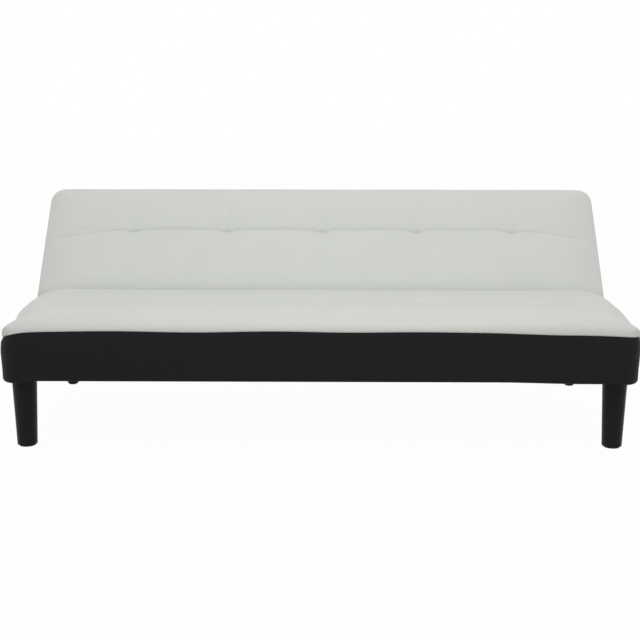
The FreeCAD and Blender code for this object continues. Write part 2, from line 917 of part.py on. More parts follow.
def back_cross_rails():
    start = back_rail_start + rail_thickness
    end = back_end - cover_thickness - rail_thickness
    rails = []
    for x in (-cross_rail_offset, cross_rail_offset):
        rail = block(
            x - rail_thickness / 2, x + rail_thickness / 2, start, end,
            back_rail_low, back_rail_low + back_rail_height / 2,
        )
        rails.append(place_back(rail))
    return rails


def back_straps():
    end = back_end - cover_thickness - fit_gap
    straps = []
    for x in spring_positions(strap_count, back_plate_inner - strap_width / 2):
        strap = block(
            x - strap_width / 2, x + strap_width / 2, back_rail_start,
            end - band_bottom_radius, back_rail_high, back_rail_high + strap_thickness,
        )
        straps.append(place_back(strap))
    return straps


def back_foam():
    """The pad over the straps, which also fills the round lower edge below the frame."""
    inside = back_body(cover_thickness)
    over = block(
        -half_width, half_width, -back_half, back_end,
        back_rail_high + strap_thickness + fit_gap, back_half,
    )
    below = block(
        -half_width, half_width, -back_half, back_rail_start - fit_gap, -back_half, back_half
    )
    pad = inside.common(over.fuse(below).removeSplitter()).cut(back_hinge_pocket())
    plate_room = block(
        back_plate_inner - fit_gap, back_plate_outer + fit_gap, 0, back_rail_start,
        -back_plate_low - fit_gap, 0,
    )
    return [place_back(pad.cut(Part.makeCompound(both_sides(plate_room))))]


def back_skin():
    return back_body(0).cut(back_body(cover_thickness)).cut(back_hinge_pocket())


def back_front_cover():
    above = block(-half_width, half_width, -back_half, back_end, back_seam, back_half)
    return [place_back(back_skin().common(above))]


def back_side_band():
    below = block(-half_width, half_width, -back_half, back_end, -back_half, back_seam)
    hole = block(
        -half_width + band_wrap, half_width - band_wrap, band_wrap, back_end - band_wrap,
        -back_half, -back_half + cover_thickness,
    )
    return [place_back(back_skin().common(below).cut(hole))]


def back_rear_cloth():
    sheet = block(
        -half_width + band_wrap + fit_gap, half_width - band_wrap - fit_gap,
        band_wrap + fit_gap, back_end - band_wrap - fit_gap,
        back_rail_low - cloth_thickness, back_rail_low,
    )
    return [place_back(sheet.cut(back_hinge_pocket()))]


def placed_group(shapes):
    return [place_back(shape) for shape in mirrored_group(shapes)]


# ---------------------------------------------------------------- assembly
def sofa():
    seat_places = seat_bolt_places()
    seat_plate = hinge_seat_plate()
    arm = rear_leg_arm()
    pawl = hinge_pawl()
    spring = pawl_spring()
    back_plate = hinge_back_plate()
    nodes = {
        "seat_front_rail": seat_front_rail(),
        "seat_rear_rail": seat_rear_rail(),
        "seat_end_rails": seat_end_rails(),
        "seat_cross_rails": seat_cross_rails(),
        "seat_corner_blocks": seat_corner_blocks(),
        "seat_springs": seat_springs(),
        "seat_spring_clips": seat_spring_clips(),
        "seat_felt": seat_felt(),
        "seat_foam": seat_foam(),
        "seat_top_cover": seat_top_cover(),
        "seat_side_band": seat_side_band(),
        "seat_dust_cover": seat_dust_cover(),
        "leg_glides": leg_glides(),
        "front_leg_plates": front_leg_plates(),
        "front_leg_bolts": front_leg_bolts(),
        "rear_leg_bolts": rear_leg_bolts(),
        "leg_nuts": leg_nuts(),
        "hinge_pivot_pins": hinge_pivot_pins(),
        "pawl_pins": pawl_pins(),
        "seat_bracket_bolts": mirrored_group(bolts_through(seat_places, seat_plate_outer)),
        "seat_bracket_washers": mirrored_group(washers_for(seat_places, seat_plate_outer)),
        "seat_bracket_nuts": mirrored_group(nuts_for(seat_places, seat_plate_outer)),
        "back_bottom_rail": back_bottom_rail(),
        "back_top_rail": back_top_rail(),
        "back_end_rails": back_end_rails(),
        "back_cross_rails": back_cross_rails(),
        "back_straps": back_straps(),
        "back_foam": back_foam(),
        "back_front_cover": back_front_cover(),
        "back_side_band": back_side_band(),
        "back_rear_cloth": back_rear_cloth(),
        "back_bracket_bolts": placed_group(bolts_through(back_bolt_places(), back_plate_outer)),
        "back_bracket_washers": placed_group(washers_for(back_bolt_places(), back_plate_outer)),
        "back_bracket_nuts": placed_group(nuts_for(back_bolt_places(), back_plate_outer)),
    }
    for name, shape in (
        ("front_leg", front_leg()),
        ("rear_leg", rear_leg()),
        ("rear_leg_arm", arm),
        ("hinge_seat_plate", seat_plate),
        ("hinge_back_plate", back_plate),
        ("hinge_pawl", pawl),
        ("pawl_spring", spring),
    ):
        nodes[name + "_right"] = [shape]
        nodes[name + "_left"] = [mirrored(shape)]
    return nodes


def export(nodes):
    os.makedirs("parts", exist_ok=True)
    whole = Part.makeCompound([solid for solids in nodes.values() for solid in solids])
    box = whole.optimalBoundingBox(True, False)
    centre = Vector(0, -(box.YMin + box.YMax) / 2, 0)
    for name, solids in nodes.items():
        shape = solids[0] if len(solids) == 1 else Part.makeCompound(solids)
        moved = shape.copy()
        moved.translate(centre)
        moved.exportStep("parts/" + name + ".step")
    print("depth", round(box.YLength, 2), "height", round(box.ZLength, 2))
    print("pivot", round(pivot_y + centre.y, 3), round(pivot_z, 3))


export(sofa())
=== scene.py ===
import json
import math

import bmesh
import bpy
import numpy as np
from mathutils import Matrix, Vector


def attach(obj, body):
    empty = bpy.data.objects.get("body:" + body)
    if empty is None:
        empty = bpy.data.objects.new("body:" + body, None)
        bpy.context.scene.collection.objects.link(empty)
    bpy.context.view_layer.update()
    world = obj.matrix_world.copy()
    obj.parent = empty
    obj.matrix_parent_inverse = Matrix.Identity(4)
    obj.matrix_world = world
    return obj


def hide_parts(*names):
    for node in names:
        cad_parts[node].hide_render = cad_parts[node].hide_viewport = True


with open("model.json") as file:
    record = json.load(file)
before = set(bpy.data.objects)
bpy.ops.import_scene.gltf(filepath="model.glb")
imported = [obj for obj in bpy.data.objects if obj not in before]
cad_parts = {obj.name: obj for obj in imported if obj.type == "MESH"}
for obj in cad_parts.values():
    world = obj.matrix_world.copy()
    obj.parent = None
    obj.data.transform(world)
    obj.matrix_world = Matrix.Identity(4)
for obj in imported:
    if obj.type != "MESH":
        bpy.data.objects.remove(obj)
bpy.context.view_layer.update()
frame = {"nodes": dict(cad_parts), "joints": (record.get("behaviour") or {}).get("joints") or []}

# The click clack sofa bed's looks. Metres, +X along the sofa, -Y the front, +Z up.
# Each upholstered panel is drawn flat, in axes of its own: a along the sofa, b from the
# front to the rear of the seat or from the pivot to the top of the backrest, and c out of
# the panel's face. It is then put where its CAD solids stand.

# ---- sizes
GRID_STEP = 0.0045
COARSE_STEP = 0.012
BAND_STEP = 0.008
CLOTH_STEP = 0.010
FINE_OFFSETS = (0.0, 0.0008, 0.0016, 0.0026, 0.0040, 0.0060, 0.0090, 0.0130)
EDGE_OFFSETS = (0.0, 0.0006)
NO_OFFSETS = (0.0,)
CORNER_STEPS = 10

# crease and tufts
TUFTS = (-2, -1, 0, 1, 2)
TUFT_LENGTH = 0.026
TUFT_DIP = 0.032
ARCH_FROM, ARCH_FULL = 0.20, 0.30
FALL_REACH = 0.22
CREASE_FADE = 0.09
CREASE_WANDER = 0.0009
GROOVE_SHARE = 0.30
PLEAT_DEPTH = 0.0005
STITCH_DEPTH = 0.0008
PUCKER_DEPTH = 0.00035
THREAD_RADIUS = 0.0006

# edges and seams
ROLL_INSET = 0.004
ROLL_BULGE = 0.0020
ROLL_HEIGHT = 0.003
LEAST_ROLL = 0.0025
SLOPE_STEP = 0.001
SEAM_TUCK = 0.006
SEAM_WAVE = 0.0012
SEAM_FADE = 0.045
BAND_WRAP = 0.030
BAND_ROUND = 0.010
HEM_SAG = 0.0070
CORNER_POWER = 2.6
CORNER_REACH = 0.035
PULL_REACH = 0.060
# painted shade down in the backrest's fold by the pivot: full up to the first b, fading over the
# second
FOLD_SHADE_TO = 0.018
FOLD_SHADE_FADE = 0.010

# pads, hinge slots, lower cloths and staples
FOAM_INSET = 0.0090
FOAM_UNDER = 0.0078
SLOT_LIMIT = 0.882
SLOT_GAP = 0.0003
LINER_MARGIN = 0.0004
LINER_UNDER = 0.0012
NOTCH_MARGIN = 0.0012
LEG_HOLE = 0.0345
CLOTH_INSET = 0.021
CLOTH_PROUD = 0.0007
STAPLE_SPACING = 0.045
STAPLE_LINE = 0.0045
STAPLE_HALF = 0.0050
STAPLE_WIRE = 0.0007
STAPLE_SHAPE = (
    (-1.0, 0.0012), (-0.97, -0.0002), (-0.85, -0.0005),
    (0.85, -0.0005), (0.97, -0.0002), (1.0, 0.0012),
)

# cloth simulation
CLOTH_FRAMES = 20
CLOTH_CAP = 0.008
SOFT_HOLD = 0.12
CLOTH_SETTINGS = {
    "quality": 6, "mass": 0.4, "tension_stiffness": 15.0, "compression_stiffness": 15.0,
    "shear_stiffness": 6.0, "bending_stiffness": 0.6, "pin_stiffness": 1.0,
    "use_pressure": True, "uniform_pressure_force": 4.0, "shrink_min": -0.002,
}


def moved(points, place):
    turn = np.array(place)
    return points @ turn[:3, :3].T + turn[:3, 3]


def node_points(name):
    obj = frame["nodes"][name]
    points = np.empty(len(obj.data.vertices) * 3)
    obj.data.vertices.foreach_get("co", points)
    return moved(points.reshape(-1, 3), obj.matrix_world)


def flat_points(name, place):
    return moved(node_points(name), place.inverted())


def smooth(low, high, value):
    t = np.clip((value - low) / (high - low), 0.0, 1.0)
    return t * t * (3 - 2 * t)


def bell(value, width):
    return np.exp(-((value / width) ** 2))


def nearest(lines, value):
    return int(np.abs(lines - value).argmin())


# ---- panels
fold = next(j for j in frame["joints"] if j["name"] == "backrest_fold")
BACK_TURN = math.radians(max(fold["range_deg"]))
SEAT_PLACE = Matrix.Translation((0, node_points("seat_side_band")[:, 1].min(), 0))
BACK_PLACE = Matrix.Translation(Vector(fold["pos_m"])) @ Matrix.Rotation(BACK_TURN, 4, "X")


class Panel:
    """One upholstered panel, laid flat: its plan, its levels and where it stands."""

    corners = (0.015, 0.015)   # plan radius at the low end and at the high end
    runs = (0.09, 0.09, 0.09)  # how far in the crown rises from the low, high and side edges
    rises = (0.008,) * 3       # how far above the seam it starts there
    round_low = False          # True where the low end is a half round as deep as the panel
    row = 0.2                  # where the row of tufts runs, along b
    first_tuft = 0.0           # where the middle tuft is, along a
    spacing = 0.31
    crease = (0.0060, 0.018)   # depth and spread of the crease that joins the tufts
    arch = 0.006               # how far that crease rises between two tufts
    fall = 0.035               # how far it comes down at the ends
    row_hold = 0.45            # how firmly it is held down
    tuft = (0.0036, 0.018)     # depth and spread of a tuft
    column = (0.0007, 0.022)   # depth and spread of the faint cross crease through a tuft
    painted_fold_shade = 0.0               # how dark the painted shade makes the leather down in the fold
    corner_drop = (0.0, 0.0)   # how far the seam comes down at the left and right corners
    lean = 0.0                 # how far the seam comes down towards the right
    droop = 0.0                # how much lower the crown is beside a front corner
    pulls = (0.0, 0.0)         # how far the left and right edges are drawn in there
    pull_place = (0.13, 0.11)  # middle and width of that stretch, along b
    spread = 0.0               # how far the right end stands out past the left
    overhang = 0.0             # how far the crown's high edge bulges out over the band
    bulge = 0.0                # how far the band stands out below the seam
    slots = ()                 # inner and outer x of the hinge slots

    def __init__(self, name, body, nodes, place, **traits):
        for key, value in traits.items():
            setattr(self, key, value)
        self.cover_node, self.band_node, self.foam_node = nodes
        top = flat_points(self.cover_node, place)
        side = flat_points(self.band_node, place)
        self.name = name
        self.body = body
        self.place = place
        self.columns = [self.first_tuft + self.spacing * k for k in TUFTS]
        self.slot_edges = [side * wall for wall in self.slots for side in (-1, 1)]
        self.half = float(side[:, 0].max())
        self.high = float(side[:, 1].max())
        self.seam = float(top[:, 2].min())
        self.top = float(top[:, 2].max())
        self.base = float(side[:, 2].min())
        self.foam_base = float(flat_points(self.foam_node, place)[:, 2].min())
        self.radius = (self.top - self.base) / 2
        self.low = self.low_at(self.seam) if self.round_low else float(side[:, 1].min())

    def box(self, inset):
        """Half the length, and the low and high end, this far in from the edges."""
        return self.half - inset, self.low + inset, self.high - inset

    def low_at(self, level):
        """Where the wall of a round low end stands at a level."""
        above = level - self.base - self.radius
        return -math.sqrt(max(self.radius**2 - above**2, 0.0))

    def drop(self, inset, run, rise):
        """How far the crown lies under its top, this far in from an edge."""
        height = self.top - self.seam - rise
        radius = (run * run + height * height) / (2 * height)
        short = np.clip(run - inset, 0.0, 0.98 * radius)
        return radius - np.sqrt(radius**2 - short**2)

    def crown(self, a, b):
        """The cover's level before its tufts draw it in."""
        side = self.half - np.abs(a)
        drops = [
            self.drop(side, self.runs[2], self.rises[2]),
            self.drop(self.high - b, self.runs[1], self.rises[1]),
        ]
        if self.round_low:
            short = np.clip(-b, 0.0, 0.995 * self.radius)
            drops.append(self.radius - np.sqrt(self.radius**2 - short**2))
        else:
            drops.append(self.drop(b - self.low, self.runs[0], self.rises[0]))
        level = self.top - sum(d**CORNER_POWER for d in drops) ** (1 / CORNER_POWER)
        if not self.droop:
            return level
        level = level - self.droop * self.beside_corner(b) * bell(side, 1.5 * PULL_REACH)
        least = self.seam + self.seam_shift(a, b) + LEAST_ROLL
        gap = level - least
        return least + (gap + np.sqrt(gap**2 + LEAST_ROLL**2)) / 2

    def beside_corner(self, b):
        return bell(b - self.pull_place[0], self.pull_place[1])

    def crease_line(self, a):
        """Where the crease runs: through the tufts, arched between them, low at the ends."""
        near = sum(bell(a - column, TUFT_DIP) for column in self.columns)
        side = self.half - np.abs(a)
        arch = self.arch * (1 - near) * smooth(ARCH_FROM, ARCH_FULL, side)
        fall = self.fall * np.clip(1 - side / FALL_REACH, 0.0, 1.0)
        return self.row + arch - fall + CREASE_WANDER * np.sin(37.0 * a)

    def relief(self, a, b):
        """How far the crease, the tufts and the faint cross creases draw the cover in."""
        across = np.abs(b - self.row)
        ends = smooth(0.0, CREASE_FADE, self.half - np.abs(a))
        depth = self.crease[0] * ends * np.exp(-np.abs(b - self.crease_line(a)) / self.crease[1])
        sides = smooth(0.0, 0.10, np.minimum(b - self.low, self.high - b))
        for column in self.columns:
            along = np.abs(a - column)
            reach = np.sqrt((along / 1.5) ** 2 + across**2 + 1e-7)
            depth = depth + self.tuft[0] * np.exp(-reach / self.tuft[1])
            depth = depth + self.column[0] * np.exp(-along / self.column[1]) * sides
        return depth

    def seam_shift(self, a, b):
        """How far the sewn seam wanders from its level line."""
        corner = np.where(a < 0, self.corner_drop[0], self.corner_drop[1])
        corner = corner * np.exp((np.abs(a) - self.half) / CORNER_REACH)
        if self.round_low:
            near = smooth(self.high - 0.2, self.high, b)
        else:
            near = 1 - smooth(self.low, self.low + 0.25, b)
        wave = SEAM_WAVE * (np.sin(14.9 * a - 2.66) + 0.5 * np.sin(9.3 * a + 34.0 * b + 2.0))
        return wave - near * (corner + self.lean * smooth(0.45, 0.70, a))

    def settled(self, points):
        """Points of a flat piece, pulled in or bulged out where the real panel is."""
        points = np.array(points, float)
        a, b, c = points.T.copy()
        pull = np.where(a < 0, self.pulls[0], self.pulls[1]) * self.beside_corner(b)
        depth = bell(np.maximum(self.half - np.abs(a), 0.0), PULL_REACH)
        points[:, 0] -= np.sign(a) * pull * depth * smooth(self.seam - 0.07, self.seam, c)
        points[:, 0] += self.spread * smooth(self.half - 0.12, self.half - 0.02, a)
        edge = smooth(self.high - 0.03, self.high, b) * smooth(self.seam, self.seam + 0.012, c)
        points[:, 1] += self.overhang * edge
        return points


def slot_walls():
    """Inner and outer x of the hinge slots, from the backrest cover's own solid."""
    points = flat_points("back_front_cover", BACK_PLACE)
    x = np.abs(points[:, 0])
    mouth = x[(np.abs(points[:, 1]) < 0.002) & (x < SLOT_LIMIT)]
    return float(mouth.min()), float(mouth.max())


seat = Panel(
    "seat", "seat", ("seat_top_cover", "seat_side_band", "seat_foam"), SEAT_PLACE,
    corners=(0.050, 0.015), runs=(0.050, 0.028, 0.110), rises=(0.013, 0.024, 0.004),
    row=0.205, first_tuft=0.0075, spacing=0.3115, crease=(0.0002, 0.022), arch=0.0, fall=0.0,
    row_hold=SOFT_HOLD, tuft=(0.0034, 0.016), column=(0.0004, 0.020),
    corner_drop=(0.029, 0.007), lean=0.009, droop=0.013, pulls=(0.014, 0.003),
    spread=0.004, overhang=0.003, bulge=0.0030,
)
back = Panel(
    "back", "backrest", ("back_front_cover", "back_side_band", "back_foam"), BACK_PLACE,
    corners=(0.015, 0.050), runs=(0.075, 0.075, 0.115), round_low=True,
    row=0.247, first_tuft=0.004, spacing=0.308, corner_drop=(0.004, 0.004), bulge=0.0012,
    painted_fold_shade=1.0, slots=slot_walls(),
)


# ---- mesh helpers
def graded(low, high, step, marks, offsets=FINE_OFFSETS):
    """Grid lines from low to high, a step apart and closer together beside each mark."""
    fixed = {low, high}
    for mark in marks:
        for offset in offsets:
            fixed.update((mark - offset, mark + offset))
    fixed = sorted(v for v in fixed if low <= v <= high)
    lines = []
    for start, end in zip(fixed, fixed[1:]):
        count = max(1, math.ceil((end - start) / step - 1e-6))
        lines += [start + (end - start) * k / count for k in range(count)]
    return np.array(lines + [high])


def mesh_object(name, points, faces, place=None):
    """An object with smooth faces, without the points that no face uses."""
    points = np.asarray(points, float)
    if place is not None:
        points = moved(points, place)
    used = np.unique([k for face in faces for k in face])
    number = np.full(len(points), -1)
    number[used] = np.arange(len(used))
    faces = [[int(number[k]) for k in face] for face in faces]
    mesh = bpy.data.meshes.new(name)
    mesh.from_pydata(points[used].tolist(), [], faces)
    mesh.polygons.foreach_set("use_smooth", [True] * len(mesh.polygons))
    obj = bpy.data.objects.new(name, mesh)
    bpy.context.scene.collection.objects.link(obj)
    return obj, used


def panel_object(panel, name, points, faces):
    """A piece of a panel, without the faces that its hinge slots take away."""
    if panel.slots:
        inner, outer = panel.slots
        centres = np.array([points[list(face)].mean(axis=0) for face in faces])
        x = np.abs(centres[:, 0])
        kept = (x <= inner) | (x >= outer) | (centres[:, 1] >= 1e-5)
        faces = [face for face, keep in zip(faces, kept) if keep]
    return mesh_object(name, panel.settled(points), faces, panel.place)


def grid_points(a, b, c):
    return np.stack([a, b, c], axis=-1).reshape(-1, 3)


def grid_faces(rows, columns):
    faces = []
    for i in range(rows - 1):
        for j in range(columns - 1):
            k = i * columns + j
            faces.append((k, k + columns, k + columns + 1, k + 1))
    return faces


def grid_border(rows, columns):
    """Indices round a grid's edge, from its first point and back to it."""
    low = [i * columns for i in range(rows)]
    far = [(rows - 1) * columns + j for j in range(1, columns)]
    high = [i * columns + columns - 1 for i in range(rows - 2, -1, -1)]
    return low + far + high + list(range(columns - 2, 0, -1))


def ring_faces(previous, current):
    count = len(current)
    faces = []
    for i in range(count):
        j = (i + 1) % count
        faces.append((previous[i], current[i], current[j], previous[j]))
    return faces


def stacked_faces(rings, count, start=0, previous=None):
    """Faces between rings of points numbered from start on, and an edge before them."""
    faces = []
    for k in range(rings):
        current = range(start + k * count, start + (k + 1) * count)
        if previous is not None:
            faces += ring_faces(previous, current)
        previous = current
    return faces


def spline_weights(fine, coarse):
    """Weights that carry values from coarse lines to fine lines along a smooth curve."""
    weights = np.zeros((len(fine), len(coarse)))
    rows = np.arange(len(fine))
    last = len(coarse) - 1
    k = np.clip(np.searchsorted(coarse, fine, "right") - 1, 0, last - 1)
    width = coarse[k + 1] - coarse[k]
    t = (fine - coarse[k]) / width
    weights[rows, k] += 2 * t**3 - 3 * t**2 + 1
    weights[rows, k + 1] += 3 * t**2 - 2 * t**3
    for side, basis in ((0, t**3 - 2 * t**2 + t), (1, t**3 - t**2)):
        before = np.maximum(k + side - 1, 0)
        after = np.minimum(k + side + 1, last)
        slope = width * basis / (coarse[after] - coarse[before])
        np.add.at(weights, (rows, after), slope)
        np.add.at(weights, (rows, before), -slope)
    return weights


# ---- covers
def rounded_plan(panel, lines_a, lines_b, inset, own_low=None):
    """A rectangle's grid bent so that its corners are round."""
    a, b = np.meshgrid(lines_a, lines_b, indexing="ij")
    half, low, high = panel.box(inset)
    low = low if own_low is None else own_low
    for side in (-1, 1):
        for end, sign, radius in ((low, -1, panel.corners[0]), (high, 1, panel.corners[1])):
            radius = radius - inset
            centre_a = side * (half - radius)
            centre_b = end - sign * radius
            x = np.clip(side * (a - centre_a) / radius, 0.0, 1.0)
            y = np.clip(sign * (b - centre_b) / radius, 0.0, 1.0)
            inside = (x > 0) & (y > 0)
            a = np.where(inside, centre_a + side * radius * x * np.sqrt(1 - y * y / 2), a)
            b = np.where(inside, centre_b + sign * radius * y * np.sqrt(1 - x * x / 2), b)
    return a, b


def outward(panel, a, b, inset):
    """The level direction out of the panel at points on its edge line."""
    half, low, high = panel.box(inset)
    normal = np.zeros((len(a), 2))
    for k, (x, y) in enumerate(zip(a, b)):
        near_low = y < (low + high) / 2
        radius = panel.corners[0 if near_low else 1] - inset
        centre_x = math.copysign(half - radius, x)
        centre_y = low + radius if near_low else high - radius
        dx = x - centre_x if abs(x) > half - radius - 1e-9 else 0.0
        dy = y - centre_y if (y < centre_y) == near_low else 0.0
        length = math.hypot(dx, dy)
        normal[k] = (dx / length, dy / length) if length > 1e-9 else (math.copysign(1, x), 0)
    return normal


def bezier(start, start_pull, end_pull, end, count):
    t = np.linspace(0, 1, count + 1)[1:, None]
    points = [np.asarray(p, float)[None, :] for p in (start, start_pull, end_pull, end)]
    return (
        points[0] * (1 - t) ** 3 + 3 * points[1] * t * (1 - t) ** 2
        + 3 * points[2] * t * t * (1 - t) + points[3] * t**3
    )


def end_lines(panel, step, low):
    """Grid lines round a panel's round low end, evenly spaced along its curve."""
    first = math.acos(-low / panel.radius)
    count = math.ceil(panel.radius * (math.pi / 2 - first) / step)
    turns = np.linspace(first, math.pi / 2, count + 1)[:-1]
    return -panel.radius * np.cos(turns)


def cover_lines(panel, step, offsets):
    """The lines of a cover's grid, along a and along b."""
    half, low, high = panel.box(ROLL_INSET)
    lines_a = graded(-half, half, step, panel.columns, offsets)
    lines_a = np.array(sorted(set(lines_a) | set(panel.slot_edges)))
    if panel.round_low:
        flat = graded(0.0, high, step, [panel.row], offsets)
        return lines_a, np.concatenate([end_lines(panel, step, low), flat])
    return lines_a, graded(low, high, step, [panel.row], offsets)


def fine_relief(panel, a, b):
    """Detail under a centimetre: the groove, the pleats at each tuft, the edge puckers."""
    ends = smooth(0.01, 0.10, panel.half - np.abs(a))
    groove = np.exp(-np.abs(b - panel.crease_line(a)) / 0.004)
    depth = GROOVE_SHARE * panel.crease[0] * ends * groove
    across = b - panel.row
    for k, column in enumerate(panel.columns):
        along = a - column
        reach = np.hypot(np.maximum(np.abs(along) - TUFT_LENGTH / 2, 0.0), across)
        turn = np.arctan2(across, along)
        folds = np.cos(4 * turn + 0.7 * k) + 0.5 * np.cos(7 * turn + 1.9 * k)
        depth = depth + PLEAT_DEPTH * folds * np.exp(-reach / 0.014) * smooth(0.0, 0.004, reach)
        depth = depth + STITCH_DEPTH * np.exp(-reach / 0.0035)
    inset = np.minimum(panel.half - np.abs(a), panel.high - b)
    if not panel.round_low:
        inset = np.minimum(inset, b - panel.low)
    wander = 2 * math.pi / 0.021 * (a + b) + 2.2 * np.sin(17.0 * (a - b))
    pucker = np.clip(np.sin(wander), -0.3, 1.0) * (1 + 0.6 * np.sin(5.0 * (a + b) + 1.0))
    return depth + PUCKER_DEPTH * pucker * np.exp(-inset / 0.011)


def blown_up(obj, hold, count):
    """An object's points after Cloth has blown it up, held at each point as hold says."""
    group = obj.vertex_groups.new(name="held")
    for weight in np.unique(hold):
        group.add(np.flatnonzero(hold == weight).tolist(), float(weight), "REPLACE")
    cloth = obj.modifiers.new("cloth", "CLOTH")
    for key, value in CLOTH_SETTINGS.items():
        setattr(cloth.settings, key, value)
    cloth.settings.vertex_group_mass = group.name
    cloth.settings.effector_weights.gravity = 0.0
    cloth.collision_settings.use_collision = False
    cloth.point_cache.frame_start = 1
    cloth.point_cache.frame_end = CLOTH_FRAMES
    for step in range(1, CLOTH_FRAMES + 1):
        bpy.context.scene.frame_set(step)
    shaped = obj.evaluated_get(bpy.context.evaluated_depsgraph_get())
    points = np.empty(count * 3)
    shaped.data.vertices.foreach_get("co", points)
    mesh = obj.data
    bpy.data.objects.remove(obj)
    bpy.data.meshes.remove(mesh)
    bpy.context.scene.frame_set(1)
    return points


def simulated(panel, lines_a, lines_b):
    """How cloth blown up over the foam and held by its stitches leaves the plain crown."""
    a, b = rounded_plan(panel, lines_a, lines_b, ROLL_INSET)
    crown = np.stack([a, b, panel.crown(a, b)], axis=-1)
    start = crown.copy()
    start[..., 2] -= panel.relief(a, b)
    obj, used = mesh_object("cloth", start.reshape(-1, 3), grid_faces(*a.shape))
    hold = np.full(a.shape, SOFT_HOLD)
    row = nearest(lines_b, panel.row)
    hold[:, row] = panel.row_hold
    for column in panel.columns:
        hold[nearest(lines_a, column), row] = 1.0
    hold.reshape(-1)[grid_border(*a.shape)] = 1.0
    puff = blown_up(obj, hold.reshape(-1), len(used)).reshape(crown.shape) - start
    if panel.round_low:
        puff *= smooth(0.0, 0.09, b)[..., None]
    size = np.linalg.norm(puff, axis=-1, keepdims=True)
    puff *= CLOTH_CAP * np.tanh(size / CLOTH_CAP) / np.maximum(size, 1e-9)
    return start + puff - crown


def drape(panel):
    """The coarse lines of a panel's cover, and how far its cloth leaves the crown there."""
    lines_a, lines_b = cover_lines(panel, COARSE_STEP, NO_OFFSETS)
    return lines_a, lines_b, simulated(panel, lines_a, lines_b)
    a, b = rounded_plan(panel, lines_a, lines_b, ROLL_INSET)
    move = np.zeros(a.shape + (3,))
    move[..., 2] = -panel.relief(a, b)
    return lines_a, lines_b, move


def draped(folds, lines_a, lines_b):
    """A drape carried to other lines."""
    coarse_a, coarse_b, move = folds
    across = spline_weights(np.clip(lines_a, coarse_a[0], coarse_a[-1]), coarse_a)
    along = spline_weights(np.clip(lines_b, coarse_b[0], coarse_b[-1]), coarse_b)
    return np.einsum("ik,klm,jl->ijm", across, move, along)


def edge_roll(panel, start_level, slope, shift):
    """(outward, down) steps from the lid's edge over the rolled edge and into the seam."""
    down = np.array([1.0, -slope]) / math.hypot(1.0, slope)
    first = np.array([-ROLL_INSET, 0.0])
    seam = panel.seam + shift - start_level
    wide = np.array([ROLL_BULGE, seam + min(ROLL_HEIGHT, -0.4 * seam)])
    tucked = np.array([-SEAM_TUCK, seam - 0.0010])
    pull = 0.45 * np.linalg.norm(wide - first)
    over = bezier(first, first + down * pull, wide + (0, pull * 0.8), wide, 7)
    under = bezier(wide, wide - (0, 0.0026), tucked + (0.004, 0.0004), tucked, 4)
    return np.concatenate([over, under])


def rolled_edge(panel, lid, a, b):
    """A lid's border, and the rings of points over its rolled edge and into the seam."""
    border = grid_border(*a.shape)
    edge_a = a.reshape(-1)[border]
    edge_b = b.reshape(-1)[border]
    normal = outward(panel, edge_a, edge_b, ROLL_INSET)
    inner = panel.crown(edge_a - normal[:, 0] * SLOPE_STEP, edge_b - normal[:, 1] * SLOPE_STEP)
    slope = (inner - panel.crown(edge_a, edge_b)) / SLOPE_STEP
    shift = panel.seam_shift(edge_a, edge_b)
    start = lid.reshape(-1, 3)[border]
    rolls = [edge_roll(panel, *steps) for steps in zip(start[:, 2], slope, shift)]
    rings = []
    for out, down in np.moveaxis(np.array(rolls), 0, -1):
        ring = start.copy()
        ring[:, :2] += normal * (out + ROLL_INSET)[:, None]
        ring[:, 2] += down
        rings.append(ring)
    return border, rings


def make_cover(panel, folds):
    """A cover's lid with its rolled edge, and where its tufts' threads lie."""
    lines_a, lines_b = cover_lines(panel, GRID_STEP, FINE_OFFSETS)
    a, b = rounded_plan(panel, lines_a, lines_b, ROLL_INSET)
    lid = np.stack([a, b, panel.crown(a, b)], axis=-1) + draped(folds, lines_a, lines_b)
    groove = fine_relief(panel, a, b)
    lid[..., 2] -= groove
    border, rings = rolled_edge(panel, lid, a, b)
    points = np.concatenate([lid.reshape(-1, 3), *rings])
    faces = grid_faces(*a.shape) + stacked_faces(len(rings), len(border), a.size, border)
    obj, used = panel_object(panel, f"{panel.name}_cover", points, faces)
    # Painted shade: the crease attribute darkens the leather down in the backrest's fold by the
    # pivot.
    crease = panel.painted_fold_shade * np.exp(-np.maximum(points[:, 1] - FOLD_SHADE_TO, 0.0) / FOLD_SHADE_FADE)
    # Painted shade: deeper groove, stitches and pleats make the crease attribute larger, so the
    # leather is darker there.
    crease[: a.size] += (groove / 0.002).reshape(-1)
    attribute = obj.data.attributes.new("crease", "FLOAT", "POINT")
    attribute.data.foreach_set("value", crease[used].astype(np.float32))
    row = nearest(lines_b, panel.row)
    return obj, [lid[nearest(lines_a, column), row] for column in panel.columns]


# ---- bands
def loop_plan(half, low, high, low_radius, high_radius, turns_a, count_b):
    """Points and outward directions round a rounded rectangle, from its low left corner."""
    points = []
    normals = []
    corners = [
        (-half + low_radius, low + low_radius, low_radius, 180),
        (half - low_radius, low + low_radius, low_radius, 270),
        (half - high_radius, high - high_radius, high_radius, 0),
        (-half + high_radius, high - high_radius, high_radius, 90),
    ]
    for k, (x, y, radius, first) in enumerate(corners):
        for turn in np.radians(np.linspace(first, first + 90, CORNER_STEPS + 1)):
            normals.append((math.cos(turn), math.sin(turn)))
            points.append((x + radius * math.cos(turn), y + radius * math.sin(turn)))
        x, y, radius, first = corners[(k + 1) % 4]
        turn = math.radians(first)
        here = points[-1]
        target = (x + radius * math.cos(turn), y + radius * math.sin(turn))
        shares = turns_a if k % 2 == 0 else np.linspace(0, 1, count_b + 1)[1:-1]
        for t in shares if k < 2 else 1 - shares[::-1]:
            points.append(tuple(p + (q - p) * t for p, q in zip(here, target)))
            normals.append(normals[-1])
    return np.array(points), np.array(normals)


